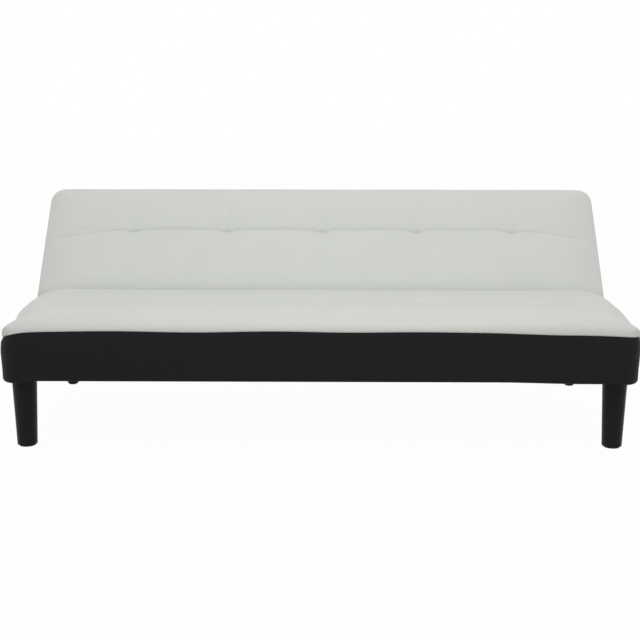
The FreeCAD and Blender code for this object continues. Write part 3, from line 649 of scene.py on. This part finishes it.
def band_profile(panel):
    """(inset, level, low edge) down a band's wall, round its lower edge and under it."""
    seam = panel.seam
    wall_end = panel.base + BAND_ROUND
    steps = [(SEAM_TUCK, seam + 0.0004), (0.0030, seam - 0.0002), (0.0010, seam - 0.0018)]
    steps += [(0.0, level) for level in np.linspace(seam - 0.0042, wall_end, 17)]
    for turn in np.linspace(0, math.pi / 2, 8)[1:]:
        steps.append((BAND_ROUND * (1 - math.cos(turn)), wall_end - BAND_ROUND * math.sin(turn)))
    steps += [(inset, panel.base) for inset in np.linspace(BAND_ROUND, BAND_WRAP, 5)[1:]]
    steps.append((BAND_WRAP, panel.base + 0.0022))
    profile = []
    for inset, level in steps:
        low = panel.low + inset
        if panel.round_low:
            under = (inset - BAND_ROUND) / (BAND_WRAP - BAND_ROUND) * BAND_WRAP
            flat = level < panel.base + 0.003 and inset > BAND_ROUND
            low = under if flat else panel.low_at(level) + min(inset, SEAM_TUCK) * (level > 0)
        profile.append((inset, level, low))
    return profile


def hem_sag(panel, flat, level, inset):
    """How far the band's lower edge sags at the front corners, more at the right."""
    corner = smooth(0.80, 0.87, np.abs(flat[:, 0]))
    right = 0.6 * smooth(0.50, 0.75, flat[:, 0])
    front = 1 - smooth(0.03, 0.12, flat[:, 1] - panel.low)
    hem = 1 - smooth(0.0, 0.06, level - panel.base)
    under = 1 - smooth(0.012, 0.022, inset)
    return HEM_SAG * np.maximum(corner, right) * front * hem * under


def make_band(panel):
    """Loops round the panel, one to each step of the profile."""
    end = panel.half - panel.corners[0]
    lines = graded(-end, end, BAND_STEP, panel.slot_edges, EDGE_OFFSETS)
    turns_a = (lines[1:-1] + end) / (2 * end)
    count_b = round((panel.high - panel.low) / BAND_STEP)
    rings = []
    for inset, level, low in band_profile(panel):
        below = panel.seam - level
        out = panel.bulge * smooth(0.0, 0.03, below) * (1 - smooth(0.05, 0.13, below))
        flat, normals = loop_plan(
            panel.half - inset, low, panel.high - inset, max(panel.corners[0] - inset, 0.001),
            panel.corners[1] - inset, turns_a, count_b,
        )
        ring = np.column_stack([flat + normals * out, np.full(len(flat), level)])
        ring[:, 2] += panel.seam_shift(*flat.T) * (1 - smooth(0.0, SEAM_FADE, below))
        if not panel.round_low:
            ring[:, 2] -= hem_sag(panel, flat, level, inset)
        rings.append(ring)
    faces = stacked_faces(len(rings), len(rings[0]))
    return panel_object(panel, f"{panel.name}_band", np.concatenate(rings), faces)[0]


# ---- pads
def make_pad(panel, folds):
    """The closed foam pad under a cover, as deep as the frame leaves it."""
    half, low, high = panel.box(FOAM_INSET)
    lines_a, _ = cover_lines(panel, COARSE_STEP, NO_OFFSETS)
    lines_a = lines_a * half / lines_a[-1]
    if panel.round_low:
        rails = max(0.0, float(flat_points("back_bottom_rail", BACK_PLACE)[:, 1].min()))
        low = -panel.radius + FOAM_INSET
        bend = low * np.cos(np.linspace(0.0, math.pi / 2, 12))[:-1]
        flat = graded(0.0, high, COARSE_STEP, [rails, panel.row], (0.0, 0.0004))
        lines_b = np.concatenate([bend, flat])
    else:
        lines_b = graded(low, high, COARSE_STEP, [panel.row], NO_OFFSETS)
    a, b = rounded_plan(panel, lines_a, lines_b, FOAM_INSET, low)
    lid = panel.crown(a, b) - FOAM_UNDER
    floor = np.full(a.shape, panel.foam_base)
    if panel.round_low:
        deep = panel.radius - FOAM_INSET
        arc = np.sqrt(np.maximum(deep**2 - np.minimum(b, 0.0) ** 2, 0.0))
        lid = np.minimum(lid, arc)
        straps = float(flat_points("back_straps", BACK_PLACE)[:, 2].max())
        floor = np.where(b < rails, -arc, straps + FOAM_UNDER / 3)
    lid = lid + draped(folds, lines_a, lines_b)[..., 2] * (b > 0.02)
    points = np.concatenate([grid_points(a, b, lid), grid_points(a, b, floor)])
    faces = grid_faces(*a.shape)
    faces += [tuple(k + a.size for k in reversed(face)) for face in faces]
    border = grid_border(*a.shape)
    faces += ring_faces(border, [k + a.size for k in border])
    pad, _ = mesh_object(f"{panel.name}_pad", panel.settled(points), faces, panel.place)
    weld(pad, 0.0002)
    if panel.slots:
        notch_pad(pad)
    return pad


def weld(obj, distance):
    mesh = bmesh.new()
    mesh.from_mesh(obj.data)
    bmesh.ops.remove_doubles(mesh, verts=mesh.verts, dist=distance)
    bmesh.ops.dissolve_degenerate(mesh, edges=mesh.edges, dist=distance / 2)
    bmesh.ops.recalc_face_normals(mesh, faces=mesh.faces)
    mesh.to_mesh(obj.data)
    mesh.free()


def pocket_radius():
    """How deep the hinge slots reach behind the pivot's line."""
    points = flat_points("back_foam", BACK_PLACE)
    walls = (np.abs(np.abs(points[:, 0]) - back.slots[0]) < 0.0005) & (points[:, 1] > 0.001)
    return float(np.hypot(points[walls, 1], points[walls, 2]).max())


SLOT_POCKET = min(pocket_radius(), 0.75 * back.radius)


def slot_outline(margin):
    """(b, c) round a hinge slot, from the panel's face over its round end to its rear."""
    outer = back.radius - margin
    pocket = SLOT_POCKET + margin
    turns = np.linspace(0.5, 1.5, 25) * math.pi
    mouth = [(outer * math.cos(t), outer * math.sin(t)) for t in turns]
    turns = np.linspace(-0.5, 0.5, 19) * math.pi
    return mouth, [(pocket * math.cos(t) + SLOT_GAP, pocket * math.sin(t)) for t in turns]


def slot_liner(name):
    """The lining of both hinge slots: two walls each, and the pocket between them."""
    mouth, pocket = slot_outline(LINER_MARGIN)
    rim = mouth + pocket
    count = len(rim)
    points = []
    faces = []
    for side in (-1, 1):
        first = len(points)
        for wall in (back.slots[0] + SLOT_GAP, back.slots[1] - SLOT_GAP):
            points.append((side * wall, 0.0, 0.0))
            for b, c in rim:
                points.append((side * wall, b, min(c, float(back.crown(wall, b)) - LINER_UNDER)))
        for centre in (first, first + count + 1):
            for k in range(count):
                faces.append((centre, centre + 1 + k, centre + 1 + (k + 1) % count))
        for k in range(len(mouth) - 1, count):
            here = first + 1 + k
            after = first + 1 + (k + 1) % count
            faces.append((here, after, after + count + 1, here + count + 1))
    obj, _ = mesh_object(name, points, faces, back.place)
    for polygon in obj.data.polygons:
        polygon.use_smooth = False
    return obj


def notch_pad(pad):
    """Takes the hinge slots out of the backrest's pad."""
    mouth, pocket = slot_outline(-NOTCH_MARGIN)
    rim = mouth + pocket
    count = len(rim)
    for side in (-1, 1):
        walls = sorted(side * wall for wall in back.slots)
        points = [(a, b, c) for a in (walls[0] - 0.001, walls[1] + 0.001) for b, c in rim]
        faces = [tuple(range(count)), tuple(range(2 * count - 1, count - 1, -1))]
        faces += [(k, k + count, (k + 1) % count + count, (k + 1) % count) for k in range(count)]
        cutter, _ = mesh_object("cutter", points, faces, back.place)
        weld(cutter, 0.00001)
        modifier = pad.modifiers.new("slot", "BOOLEAN")
        modifier.operation = "DIFFERENCE"
        modifier.solver = "EXACT"
        modifier.object = cutter
        shaped = pad.evaluated_get(bpy.context.evaluated_depsgraph_get())
        mesh = bpy.data.meshes.new_from_object(shaped)
        pad.modifiers.clear()
        pad.data = mesh
        bpy.data.objects.remove(cutter)


# ---- rear and lower cloths
def rope(path, radius, sides=6):
    """Points and faces of a round bar along a short path, closed at both ends."""
    path = np.asarray(path, float)
    tangent = np.gradient(path, axis=0)
    tangent /= np.linalg.norm(tangent, axis=1, keepdims=True)
    points = []
    for place, along in zip(path, tangent):
        side = np.cross(along, (0.0, 0.0, 1.0))
        size = np.linalg.norm(side)
        side = side / size if size > 1e-6 else np.array([0, 1.0, 0])
        other = np.cross(side, along)
        for k in range(sides):
            turn = 2 * math.pi * k / sides
            points.append(place + radius * (side * math.cos(turn) + other * math.sin(turn)))
    faces = stacked_faces(len(path), sides)
    faces.append(tuple(range(sides - 1, -1, -1)))
    faces.append(tuple(range(len(points) - sides, len(points))))
    return points, faces


def joined(name, parts, place):
    """One object from several (points, faces)."""
    points = []
    faces = []
    for part_points, part_faces in parts:
        shift = len(points)
        points += [tuple(p) for p in part_points]
        faces += [tuple(k + shift for k in face) for face in part_faces]
    return mesh_object(name, points, faces, place)[0]


def cloth_outline(panel):
    """Low and high b, and half the length, of the cloth under a panel."""
    low = (0.0 if panel.round_low else panel.low) + CLOTH_INSET
    return low, panel.high - CLOTH_INSET, panel.half - CLOTH_INSET


def under_cloth(panel, sag, holes):
    """The thin cloth stapled over a panel's frame, a little slack between its staples."""
    low, high, half = cloth_outline(panel)
    lines = graded(-half, half, CLOTH_STEP, []), graded(low, high, CLOTH_STEP, [])
    a, b = np.meshgrid(*lines, indexing="ij")
    inset = np.minimum(half - np.abs(a), np.minimum(b - low, high - b))
    level = panel.base - CLOTH_PROUD + 0.0018 * smooth(0.006, 0.016, inset)
    bay = np.sin(math.pi * np.clip((b - low) / (high - low), 0, 1))
    level -= sag * bay * (0.75 + 0.25 * np.cos(2 * math.pi * a / 0.6)) * smooth(0.01, 0.09, inset)
    beat = 2 * math.pi / STAPLE_SPACING
    along_edge = np.where(half - np.abs(a) < np.minimum(b - low, high - b), b, a)
    level -= 0.0009 * (1 - np.cos(beat * along_edge)) * bell(inset - 0.022, 0.014)
    ripple = 1 + np.sin(70 * a + 9 * b) * np.sin(23 * a - 60 * b + 1.3)
    level -= 0.0006 * ripple * smooth(0.02, 0.07, inset)
    points = grid_points(a, b, level)
    faces = []
    for face in grid_faces(*a.shape):
        middle = points[list(face)].mean(axis=0)
        if all(math.dist(middle[:2], (x, y)) > reach for x, y, reach in holes):
            faces.append(face[::-1])
    obj, _ = mesh_object(f"{panel.name}_dust_cloth", points, faces, panel.place)
    cut = (2 * half) * (high - low) - sum(math.pi * reach**2 for _, _, reach in holes)
    return obj, (2 * half, high - low), cut


def staple(a, b, level, direction):
    along = np.array([direction[0], direction[1], 0.0])
    along /= np.linalg.norm(along)
    middle = np.array([a, b, level])
    path = [middle + along * STAPLE_HALF * t + (0, 0, rise) for t, rise in STAPLE_SHAPE]
    return rope(path, STAPLE_WIRE / 2, 5)


def staple_row(panel):
    """Staples round the edge of the cloth under a panel."""
    low, high, half = cloth_outline(panel)
    level = panel.base - CLOTH_PROUD
    parts = []
    for side in (-1, 1):
        edge = (high - STAPLE_LINE) if side > 0 else (low + STAPLE_LINE)
        for a in np.arange(-half + 0.02, half - 0.01, STAPLE_SPACING):
            parts.append(staple(a, edge, level, (1.0, 0.12 * math.sin(37 * a + side))))
        end = side * (half - STAPLE_LINE)
        for b in np.arange(low + 0.02, high - 0.01, STAPLE_SPACING):
            parts.append(staple(end, b, level, (0.12 * math.sin(51 * b), 1.0)))
    return joined(f"{panel.name}_staples", parts, panel.place)


def tuft_threads(panel, ties):
    """The short stitched bar that holds each tuft."""
    parts = []
    for tie in ties:
        for lane in (-0.7, 0.7):
            path = []
            for t in np.linspace(-1, 1, 7):
                rise = 0.0004 + 0.0011 * t * t
                path.append(tie + (TUFT_LENGTH / 2 * t, lane * THREAD_RADIUS, rise))
            parts.append(rope(path, THREAD_RADIUS))
    return joined(f"{panel.name}_tuft_threads", parts, panel.place)


# ---- materials
class Graph:
    """The nodes of a material or of the world."""

    def __init__(self, owner):
        owner.use_nodes = True
        self.tree = owner.node_tree

    def add(self, kind, settings=None, **inputs):
        """A node, with what it is set to and what goes into its inputs."""
        node = self.tree.nodes.new(kind)
        for key, value in (settings or {}).items():
            setattr(node, key, value)
        for key, value in inputs.items():
            self.feed(node.inputs[key.replace("_", " ")], value)
        return node

    def feed(self, socket, value):
        if isinstance(value, bpy.types.NodeSocket):
            self.tree.links.new(value, socket)
        else:
            socket.default_value = value

    def mixed(self, node, *values):
        """What a node gives, with values fed to its first inputs."""
        for socket, value in zip(node.inputs, values):
            self.feed(socket, value)
        return node.outputs[0]

    def math(self, operation, first, second):
        return self.mixed(self.add("ShaderNodeMath", {"operation": operation}), first, second)

    def seen_directly(self):
        """1 for what the camera sees, also in a mirror or through glass."""
        path = self.add("ShaderNodeLightPath").outputs
        seen = path["Is Camera Ray"]
        for kind in ("Is Glossy Ray", "Is Transmission Ray"):
            seen = self.math("MAXIMUM", seen, path[kind])
        return seen


class Look(Graph):
    """A node material whose patterns are all worked out in the object's own metres."""

    def __init__(self, name, colour, roughness, **sockets):
        self.material = bpy.data.materials.new(name)
        super().__init__(self.material)
        self.tone = colour
        self.dullness = roughness
        self.shader = self.tree.nodes["Principled BSDF"].inputs
        self.shader["Base Color"].default_value = (*colour, 1)
        self.shader["Roughness"].default_value = roughness
        for socket, value in sockets.items():
            self.shader[socket.replace("_", " ")].default_value = value
        self.where = self.add("ShaderNodeTexCoord").outputs["Object"]

    def scaled(self, scale, turn=(0.0, 0.0, 0.0)):
        """The place in the object, turned and stretched."""
        turned = self.add("ShaderNodeMapping", Vector=self.where, Rotation=turn).outputs[0]
        return self.add("ShaderNodeMapping", Vector=turned, Scale=scale).outputs[0]

    def noise(self, scale, detail=2.0, roughness=0.5, where=None):
        node = self.add(
            "ShaderNodeTexNoise", Vector=where or self.where, Scale=scale, Detail=detail,
            Roughness=roughness,
        )
        return node.outputs["Fac"]

    def cells(self, scale, feature="DISTANCE_TO_EDGE"):
        node = self.add(
            "ShaderNodeTexVoronoi", {"feature": feature}, Vector=self.where, Scale=scale
        )
        return node.outputs["Distance"]

    def waves(self, scale, direction, distortion=0.0):
        node = self.add(
            "ShaderNodeTexWave", {"bands_direction": direction}, Vector=self.where, Scale=scale,
            Distortion=distortion,
        )
        return node.outputs["Fac"]

    def attribute(self, name):
        return self.add("ShaderNodeAttribute", {"attribute_name": name}).outputs["Fac"]

    def remap(self, value, low, high, to_low, to_high):
        node = self.add(
            "ShaderNodeMapRange", Value=value, From_Min=low, From_Max=high, To_Min=to_low,
            To_Max=to_high,
        )
        return node.outputs["Result"]

    def varied(self, value, less, more):
        """A roughness that follows a pattern, from less to more than the look's own."""
        return self.remap(value, 0.3, 0.7, self.dullness - less, self.dullness + more)

    def blend(self, factor, first, second):
        """A mix of two colours. A number is that many times the look's own colour."""
        node = self.add("ShaderNodeMix", {"data_type": "RGBA"})
        self.feed(node.inputs[0], factor)
        for k, value in ((6, first), (7, second)):
            if isinstance(value, float):
                value = (*[min(1.0, c * value) for c in self.tone], 1)
            self.feed(node.inputs[k], value)
        return node.outputs[2]

    def bump(self, height, distance, strength=1.0, below=None):
        node = self.add("ShaderNodeBump", Height=height, Distance=distance, Strength=strength)
        if below is not None:
            self.feed(node.inputs["Normal"], below)
        return node.outputs["Normal"]

    def finished(self, colour, normal, roughness=None):
        """The material, with its shader fed."""
        self.feed(self.shader["Base Color"], colour)
        self.feed(self.shader["Normal"], normal)
        if roughness is not None:
            self.feed(self.shader["Roughness"], roughness)
        return self.material


def leather(name, colour, roughness, gloss, painted_crease_shade):
    """Grained artificial leather; where the flag is set, painted shade makes it a little darker
    down in its creases and folds.
    """
    look = Look(name, colour, roughness, Specular_IOR_Level=gloss)
    fine = look.remap(look.cells(620.0), 0.0, 0.35, 0.0, 1.0)
    folds = look.noise(70.0, 4.0, 0.6)
    base = look.blend(look.noise(9.0, 3.0), 0.975, 1.025)
    base = look.blend(look.remap(fine, 0.0, 1.0, 0.10, 0.0), base, 0.75)
    if painted_crease_shade:
        # painted shade: the crease attribute darkens the colour towards 0.62 times itself
        base = look.blend(look.remap(look.attribute("crease"), 0.1, 1.3, 0.0, 0.40), base, 0.62)
    grain = look.bump(fine, 0.00012, 0.5, look.bump(folds, 0.0006, 0.4))
    return look.finished(base, grain, look.varied(folds, 0.05, 0.06))


def lacquer(name, colour, roughness):
    """Lacquered wood whose faint grain runs upright."""
    look = Look(name, colour, roughness, Specular_IOR_Level=0.12)
    streak = look.noise(1.0, 4.0, 0.6, look.scaled((160.0, 160.0, 9.0)))
    base = look.blend(streak, 0.8, 1.25)
    return look.finished(base, look.bump(streak, 0.0002, 0.4), look.varied(streak, 0.05, 0.08))


def timber(name, *turn):
    """Sawn pine whose grain runs along x after the turn."""
    look = Look(name, (0.60, 0.42, 0.24), 0.7)
    rings = look.noise(1.0, 5.0, 0.55, look.scaled((5.0, 42.0, 42.0), turn))
    fibres = look.noise(1.0, 3.0, 0.7, look.scaled((40.0, 900.0, 900.0), turn))
    base = look.blend(look.remap(rings, 0.42, 0.60, 0.0, 1.0), 1.08, 0.68)
    base = look.blend(look.remap(fibres, 0.35, 0.7, 0.0, 0.35), base, 0.55)
    return look.finished(base, look.bump(fibres, 0.0004, 0.5), look.varied(fibres, 0.08, 0.12))


def plated(name, colour, roughness, spangle):
    """Plated or drawn steel: fine drawing lines, and a faint spangle."""
    look = Look(name, colour, roughness, Metallic=1.0)
    lines = look.noise(1.0, 3.0, 0.6, look.scaled((60.0, 1400.0, 1400.0)))
    base = look.blend(look.remap(look.cells(spangle, "F1"), 0.0, 0.8, 0.0, 0.5), 1.08, 0.82)
    base = look.blend(look.remap(look.noise(35.0, 4.0, 0.6), 0.55, 0.75, 0.0, 0.5), base, 0.6)
    return look.finished(base, look.bump(lines, 0.00006, 0.4), look.varied(lines, 0.07, 0.10))


def coated(name, colour, roughness, scale):
    """Powder coat or moulded plastic: a fine orange peel, rubbed in places."""
    look = Look(name, colour, roughness, Specular_IOR_Level=0.35)
    rub = look.noise(24.0, 4.0, 0.65)
    base = look.blend(look.remap(rub, 0.5, 0.75, 0.0, 0.6), 0.9, 1.8)
    peel = look.bump(look.noise(scale, 2.0, 0.5), 0.00015, 0.5)
    return look.finished(base, peel, look.varied(rub, 0.06, 0.10))


def felt_look(name, colour, scale):
    """Pressed or spun fibres, such as felt or thread."""
    look = Look(name, colour, 0.95, Specular_IOR_Level=0.15, Sheen_Weight=0.25)
    fibres = look.noise(scale, 6.0, 0.75)
    clumps = look.remap(look.noise(scale / 14, 3.0, 0.6), 0.4, 0.7, 0.0, 0.5)
    base = look.blend(clumps, look.blend(fibres, 0.62, 1.4), 0.8)
    return look.finished(base, look.bump(fibres, 0.0004, 0.7))


def bonded_cloth(name, colour):
    """Thin bonded cloth with its square pattern of pressed points."""
    look = Look(name, colour, 0.85, Specular_IOR_Level=0.2)
    points = look.math("MULTIPLY", look.waves(180.0, "X"), look.waves(180.0, "Y"))
    fibres = look.noise(900.0, 4.0, 0.7)
    weave = look.bump(points, 0.0003, 0.6, look.bump(fibres, 0.0002, 0.5))
    dull = look.remap(points, 0.0, 1.0, 0.9, 0.7)
    return look.finished(look.blend(fibres, 0.7, 1.6), weave, dull)


def foam_look(name, colour):
    """Open-pored foam."""
    look = Look(name, colour, 0.95, Specular_IOR_Level=0.1)
    pores = look.remap(look.cells(900.0), 0.0, 0.3, 0.0, 1.0)
    base = look.blend(pores, 0.6, look.blend(look.noise(12.0, 3.0), 0.92, 1.05))
    return look.finished(base, look.bump(pores, 0.0003, 0.6))


def webbing_look(name, colour):
    """Woven elastic webbing with ribs across it."""
    look = Look(name, colour, 0.85, Sheen_Weight=0.2)
    weave = look.math("MULTIPLY", look.waves(260.0, "X", 0.5), look.waves(420.0, "Z", 0.5))
    return look.finished(look.blend(weave, 0.6, 1.3), look.bump(weave, 0.0004, 0.7))


WHITE_LEATHER = (0.635, 0.654, 0.617)
BLACK_LEATHER = (0.0107, 0.0103, 0.0120)
BLACK_LACQUER = (0.0072, 0.0067, 0.0088)
BRACKET_NODES = [
    f"{end}_bracket_{kind}" for end in ("seat", "back") for kind in ("bolts", "washers", "nuts")
]

white = leather("white leather", WHITE_LEATHER, 0.55, 0.20, True)
black = leather("black leather", BLACK_LEATHER, 0.55, 0.11, False)
thread = felt_look("white thread", (0.60, 0.61, 0.58), 2600.0)
foam = foam_look("foam", (0.75, 0.70, 0.52))
dust_cloth = bonded_cloth("black cloth", (0.012, 0.012, 0.013))
zinc = plated("zinc plate", (0.52, 0.52, 0.54), 0.34, 260.0)


def dress(material, *names):
    """Gives CAD nodes that stay a finish. A name that ends in _ stands for both sides."""
    for name in names:
        for side in ("left", "right") if name.endswith("_") else ("",):
            for material_slot in frame["nodes"][name + side].material_slots:
                material_slot.material = material


dress(
    timber("pine along", 0.0, 0.0, 0.0),
    "seat_front_rail", "seat_rear_rail", "back_bottom_rail", "back_top_rail", "seat_corner_blocks",
)
dress(timber("pine deep", 0.0, 0.0, math.pi / 2), "seat_end_rails", "seat_cross_rails")
dress(
    timber("pine raised", math.pi / 2 - BACK_TURN, 0.0, math.pi / 2),
    "back_end_rails", "back_cross_rails",
)
dress(lacquer("black lacquer", BLACK_LACQUER, 0.40), "front_leg_", "rear_leg_")
dress(coated("glide", (0.02, 0.02, 0.02), 0.5, 900.0), "leg_glides")
dress(coated("powder coat", (0.014, 0.014, 0.015), 0.45, 700.0), "rear_leg_arm_")
dress(plated("spring wire", (0.36, 0.36, 0.38), 0.38, 400.0), "seat_springs", "pawl_spring_")
dress(
    plated("hinge steel", (0.46, 0.46, 0.48), 0.40, 120.0),
    "hinge_seat_plate_", "hinge_back_plate_", "hinge_pawl_",
)
dress(
    zinc, "front_leg_bolts", "front_leg_plates", "rear_leg_bolts", "leg_nuts",
    "hinge_pivot_pins", "pawl_pins", "seat_spring_clips", *BRACKET_NODES,
)
dress(felt_look("felt", (0.26, 0.26, 0.27), 500.0), "seat_felt")
dress(webbing_look("webbing", (0.20, 0.18, 0.15)), "back_straps")


# ---- pieces
def finish_piece(obj, material, body, slot, *nodes):
    """Gives a piece its material and its body, and hides the CAD nodes it stands for. The slot is
    not used.
    """
    obj.data.materials.clear()
    obj.data.materials.append(material)
    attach(obj, body)
    if nodes:
        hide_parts(*nodes)


def upholster(panel, cloth_node, sag, holes):
    """Every soft piece of one panel."""
    folds = drape(panel)
    cover, ties = make_cover(panel, folds)
    finish_piece(cover, white, panel.body, "white_leather", panel.cover_node)
    pad = make_pad(panel, folds)
    finish_piece(pad, foam, panel.body, "foam", panel.foam_node)
    band = make_band(panel)
    finish_piece(band, black, panel.body, "black_leather", panel.band_node)
    cloth, flat, cut = under_cloth(panel, sag, holes)
    finish_piece(cloth, dust_cloth, panel.body, "black_cloth", cloth_node)
    finish_piece(staple_row(panel), zinc, panel.body, "zinc_steel")
    finish_piece(tuft_threads(panel, ties), thread, panel.body, "white_leather")


def leg_holes():
    """Where the front legs stand against the seat's lower cloth."""
    holes = []
    for side in ("left", "right"):
        points = flat_points(f"front_leg_{side}", SEAT_PLACE)
        top = points[points[:, 2] > points[:, 2].max() - 0.001]
        middle = (top.max(axis=0) + top.min(axis=0)) / 2
        holes.append((float(middle[0]), float(middle[1]), LEG_HOLE))
    return holes


upholster(seat, "seat_dust_cover", 0.004, leg_holes())
upholster(back, "back_rear_cloth", 0.0, [])
finish_piece(slot_liner("back_slot_liners"), black, "backrest", "black_leather")


# ---- studio
WORLD_LEVEL = 0.785
KEY_PLACE, KEY_TARGET = (0.12, -1.6, 2.35), (0, 0.6, 1.4)
KEY_SIZE = (1.2, 0.8)
KEY_POWER = 17.5
FLOOR_HALF = 14.0
FLOOR_PAINT = 0.62
FLOOR_GLOW = 0.975
CAMERA_PLACE = (0.0254, SEAT_PLACE.translation.y - 3.285, 1.072)
CAMERA_TURN = tuple(math.radians(v) for v in (90 - 11.81, -0.065, 0.412))
FOCAL_LENGTH = 68.04
SENSOR_WIDTH = 36.0


def placed(name, data, place, turn):
    obj = bpy.data.objects.new(name, data)
    obj.location = place
    obj.rotation_euler = turn
    bpy.context.scene.collection.objects.link(obj)
    return obj


def studio_world():
    """Even light from all round, and plain white where the camera or a mirror looks."""
    world = bpy.data.worlds.new("studio")
    bpy.context.scene.world = world
    graph = Graph(world)
    lamp = graph.tree.nodes["Background"]
    lamp.inputs["Color"].default_value = (1, 1, 1, 1)
    lamp.inputs["Strength"].default_value = WORLD_LEVEL
    plain = graph.add("ShaderNodeBackground", Color=(1, 1, 1, 1), Strength=1.0)
    seen = graph.seen_directly()
    mix = graph.mixed(graph.add("ShaderNodeMixShader"), seen, lamp.outputs[0], plain.outputs[0])
    graph.feed(graph.tree.nodes["World Output"].inputs["Surface"], mix)


def studio_floor():
    """A pale floor that glows white to the camera and still keeps a faint shadow."""
    size = FLOOR_HALF
    corners = [(-size, -size, 0), (size, -size, 0), (size, size, 0), (-size, size, 0)]
    floor, _ = mesh_object("floor", corners, [(0, 1, 2, 3)])
    material = bpy.data.materials.new("floor")
    graph = Graph(material)
    graph.tree.nodes.clear()
    paint = graph.add("ShaderNodeBsdfDiffuse", Color=(FLOOR_PAINT, FLOOR_PAINT, FLOOR_PAINT, 1))
    glow = graph.add("ShaderNodeEmission")
    share = graph.math("MULTIPLY", graph.seen_directly(), FLOOR_GLOW)
    mix = graph.mixed(graph.add("ShaderNodeMixShader"), share, paint.outputs[0], glow.outputs[0])
    graph.add("ShaderNodeOutputMaterial", Surface=mix)
    floor.data.materials.append(material)


def key_lamp():
    data = bpy.data.lights.new("key", "AREA")
    data.shape = "RECTANGLE"
    data.size, data.size_y = KEY_SIZE
    data.energy = KEY_POWER
    aim = (Vector(KEY_TARGET) - Vector(KEY_PLACE)).to_track_quat("-Z", "Y").to_euler()
    placed("key", data, KEY_PLACE, aim)


def camera():
    data = bpy.data.cameras.new("camera")
    data.lens = FOCAL_LENGTH
    data.sensor_width = SENSOR_WIDTH
    bpy.context.scene.camera = placed("camera", data, CAMERA_PLACE, CAMERA_TURN)


studio_world()
studio_floor()
key_lamp()
camera()
bpy.context.scene.view_settings.view_transform = "Standard"
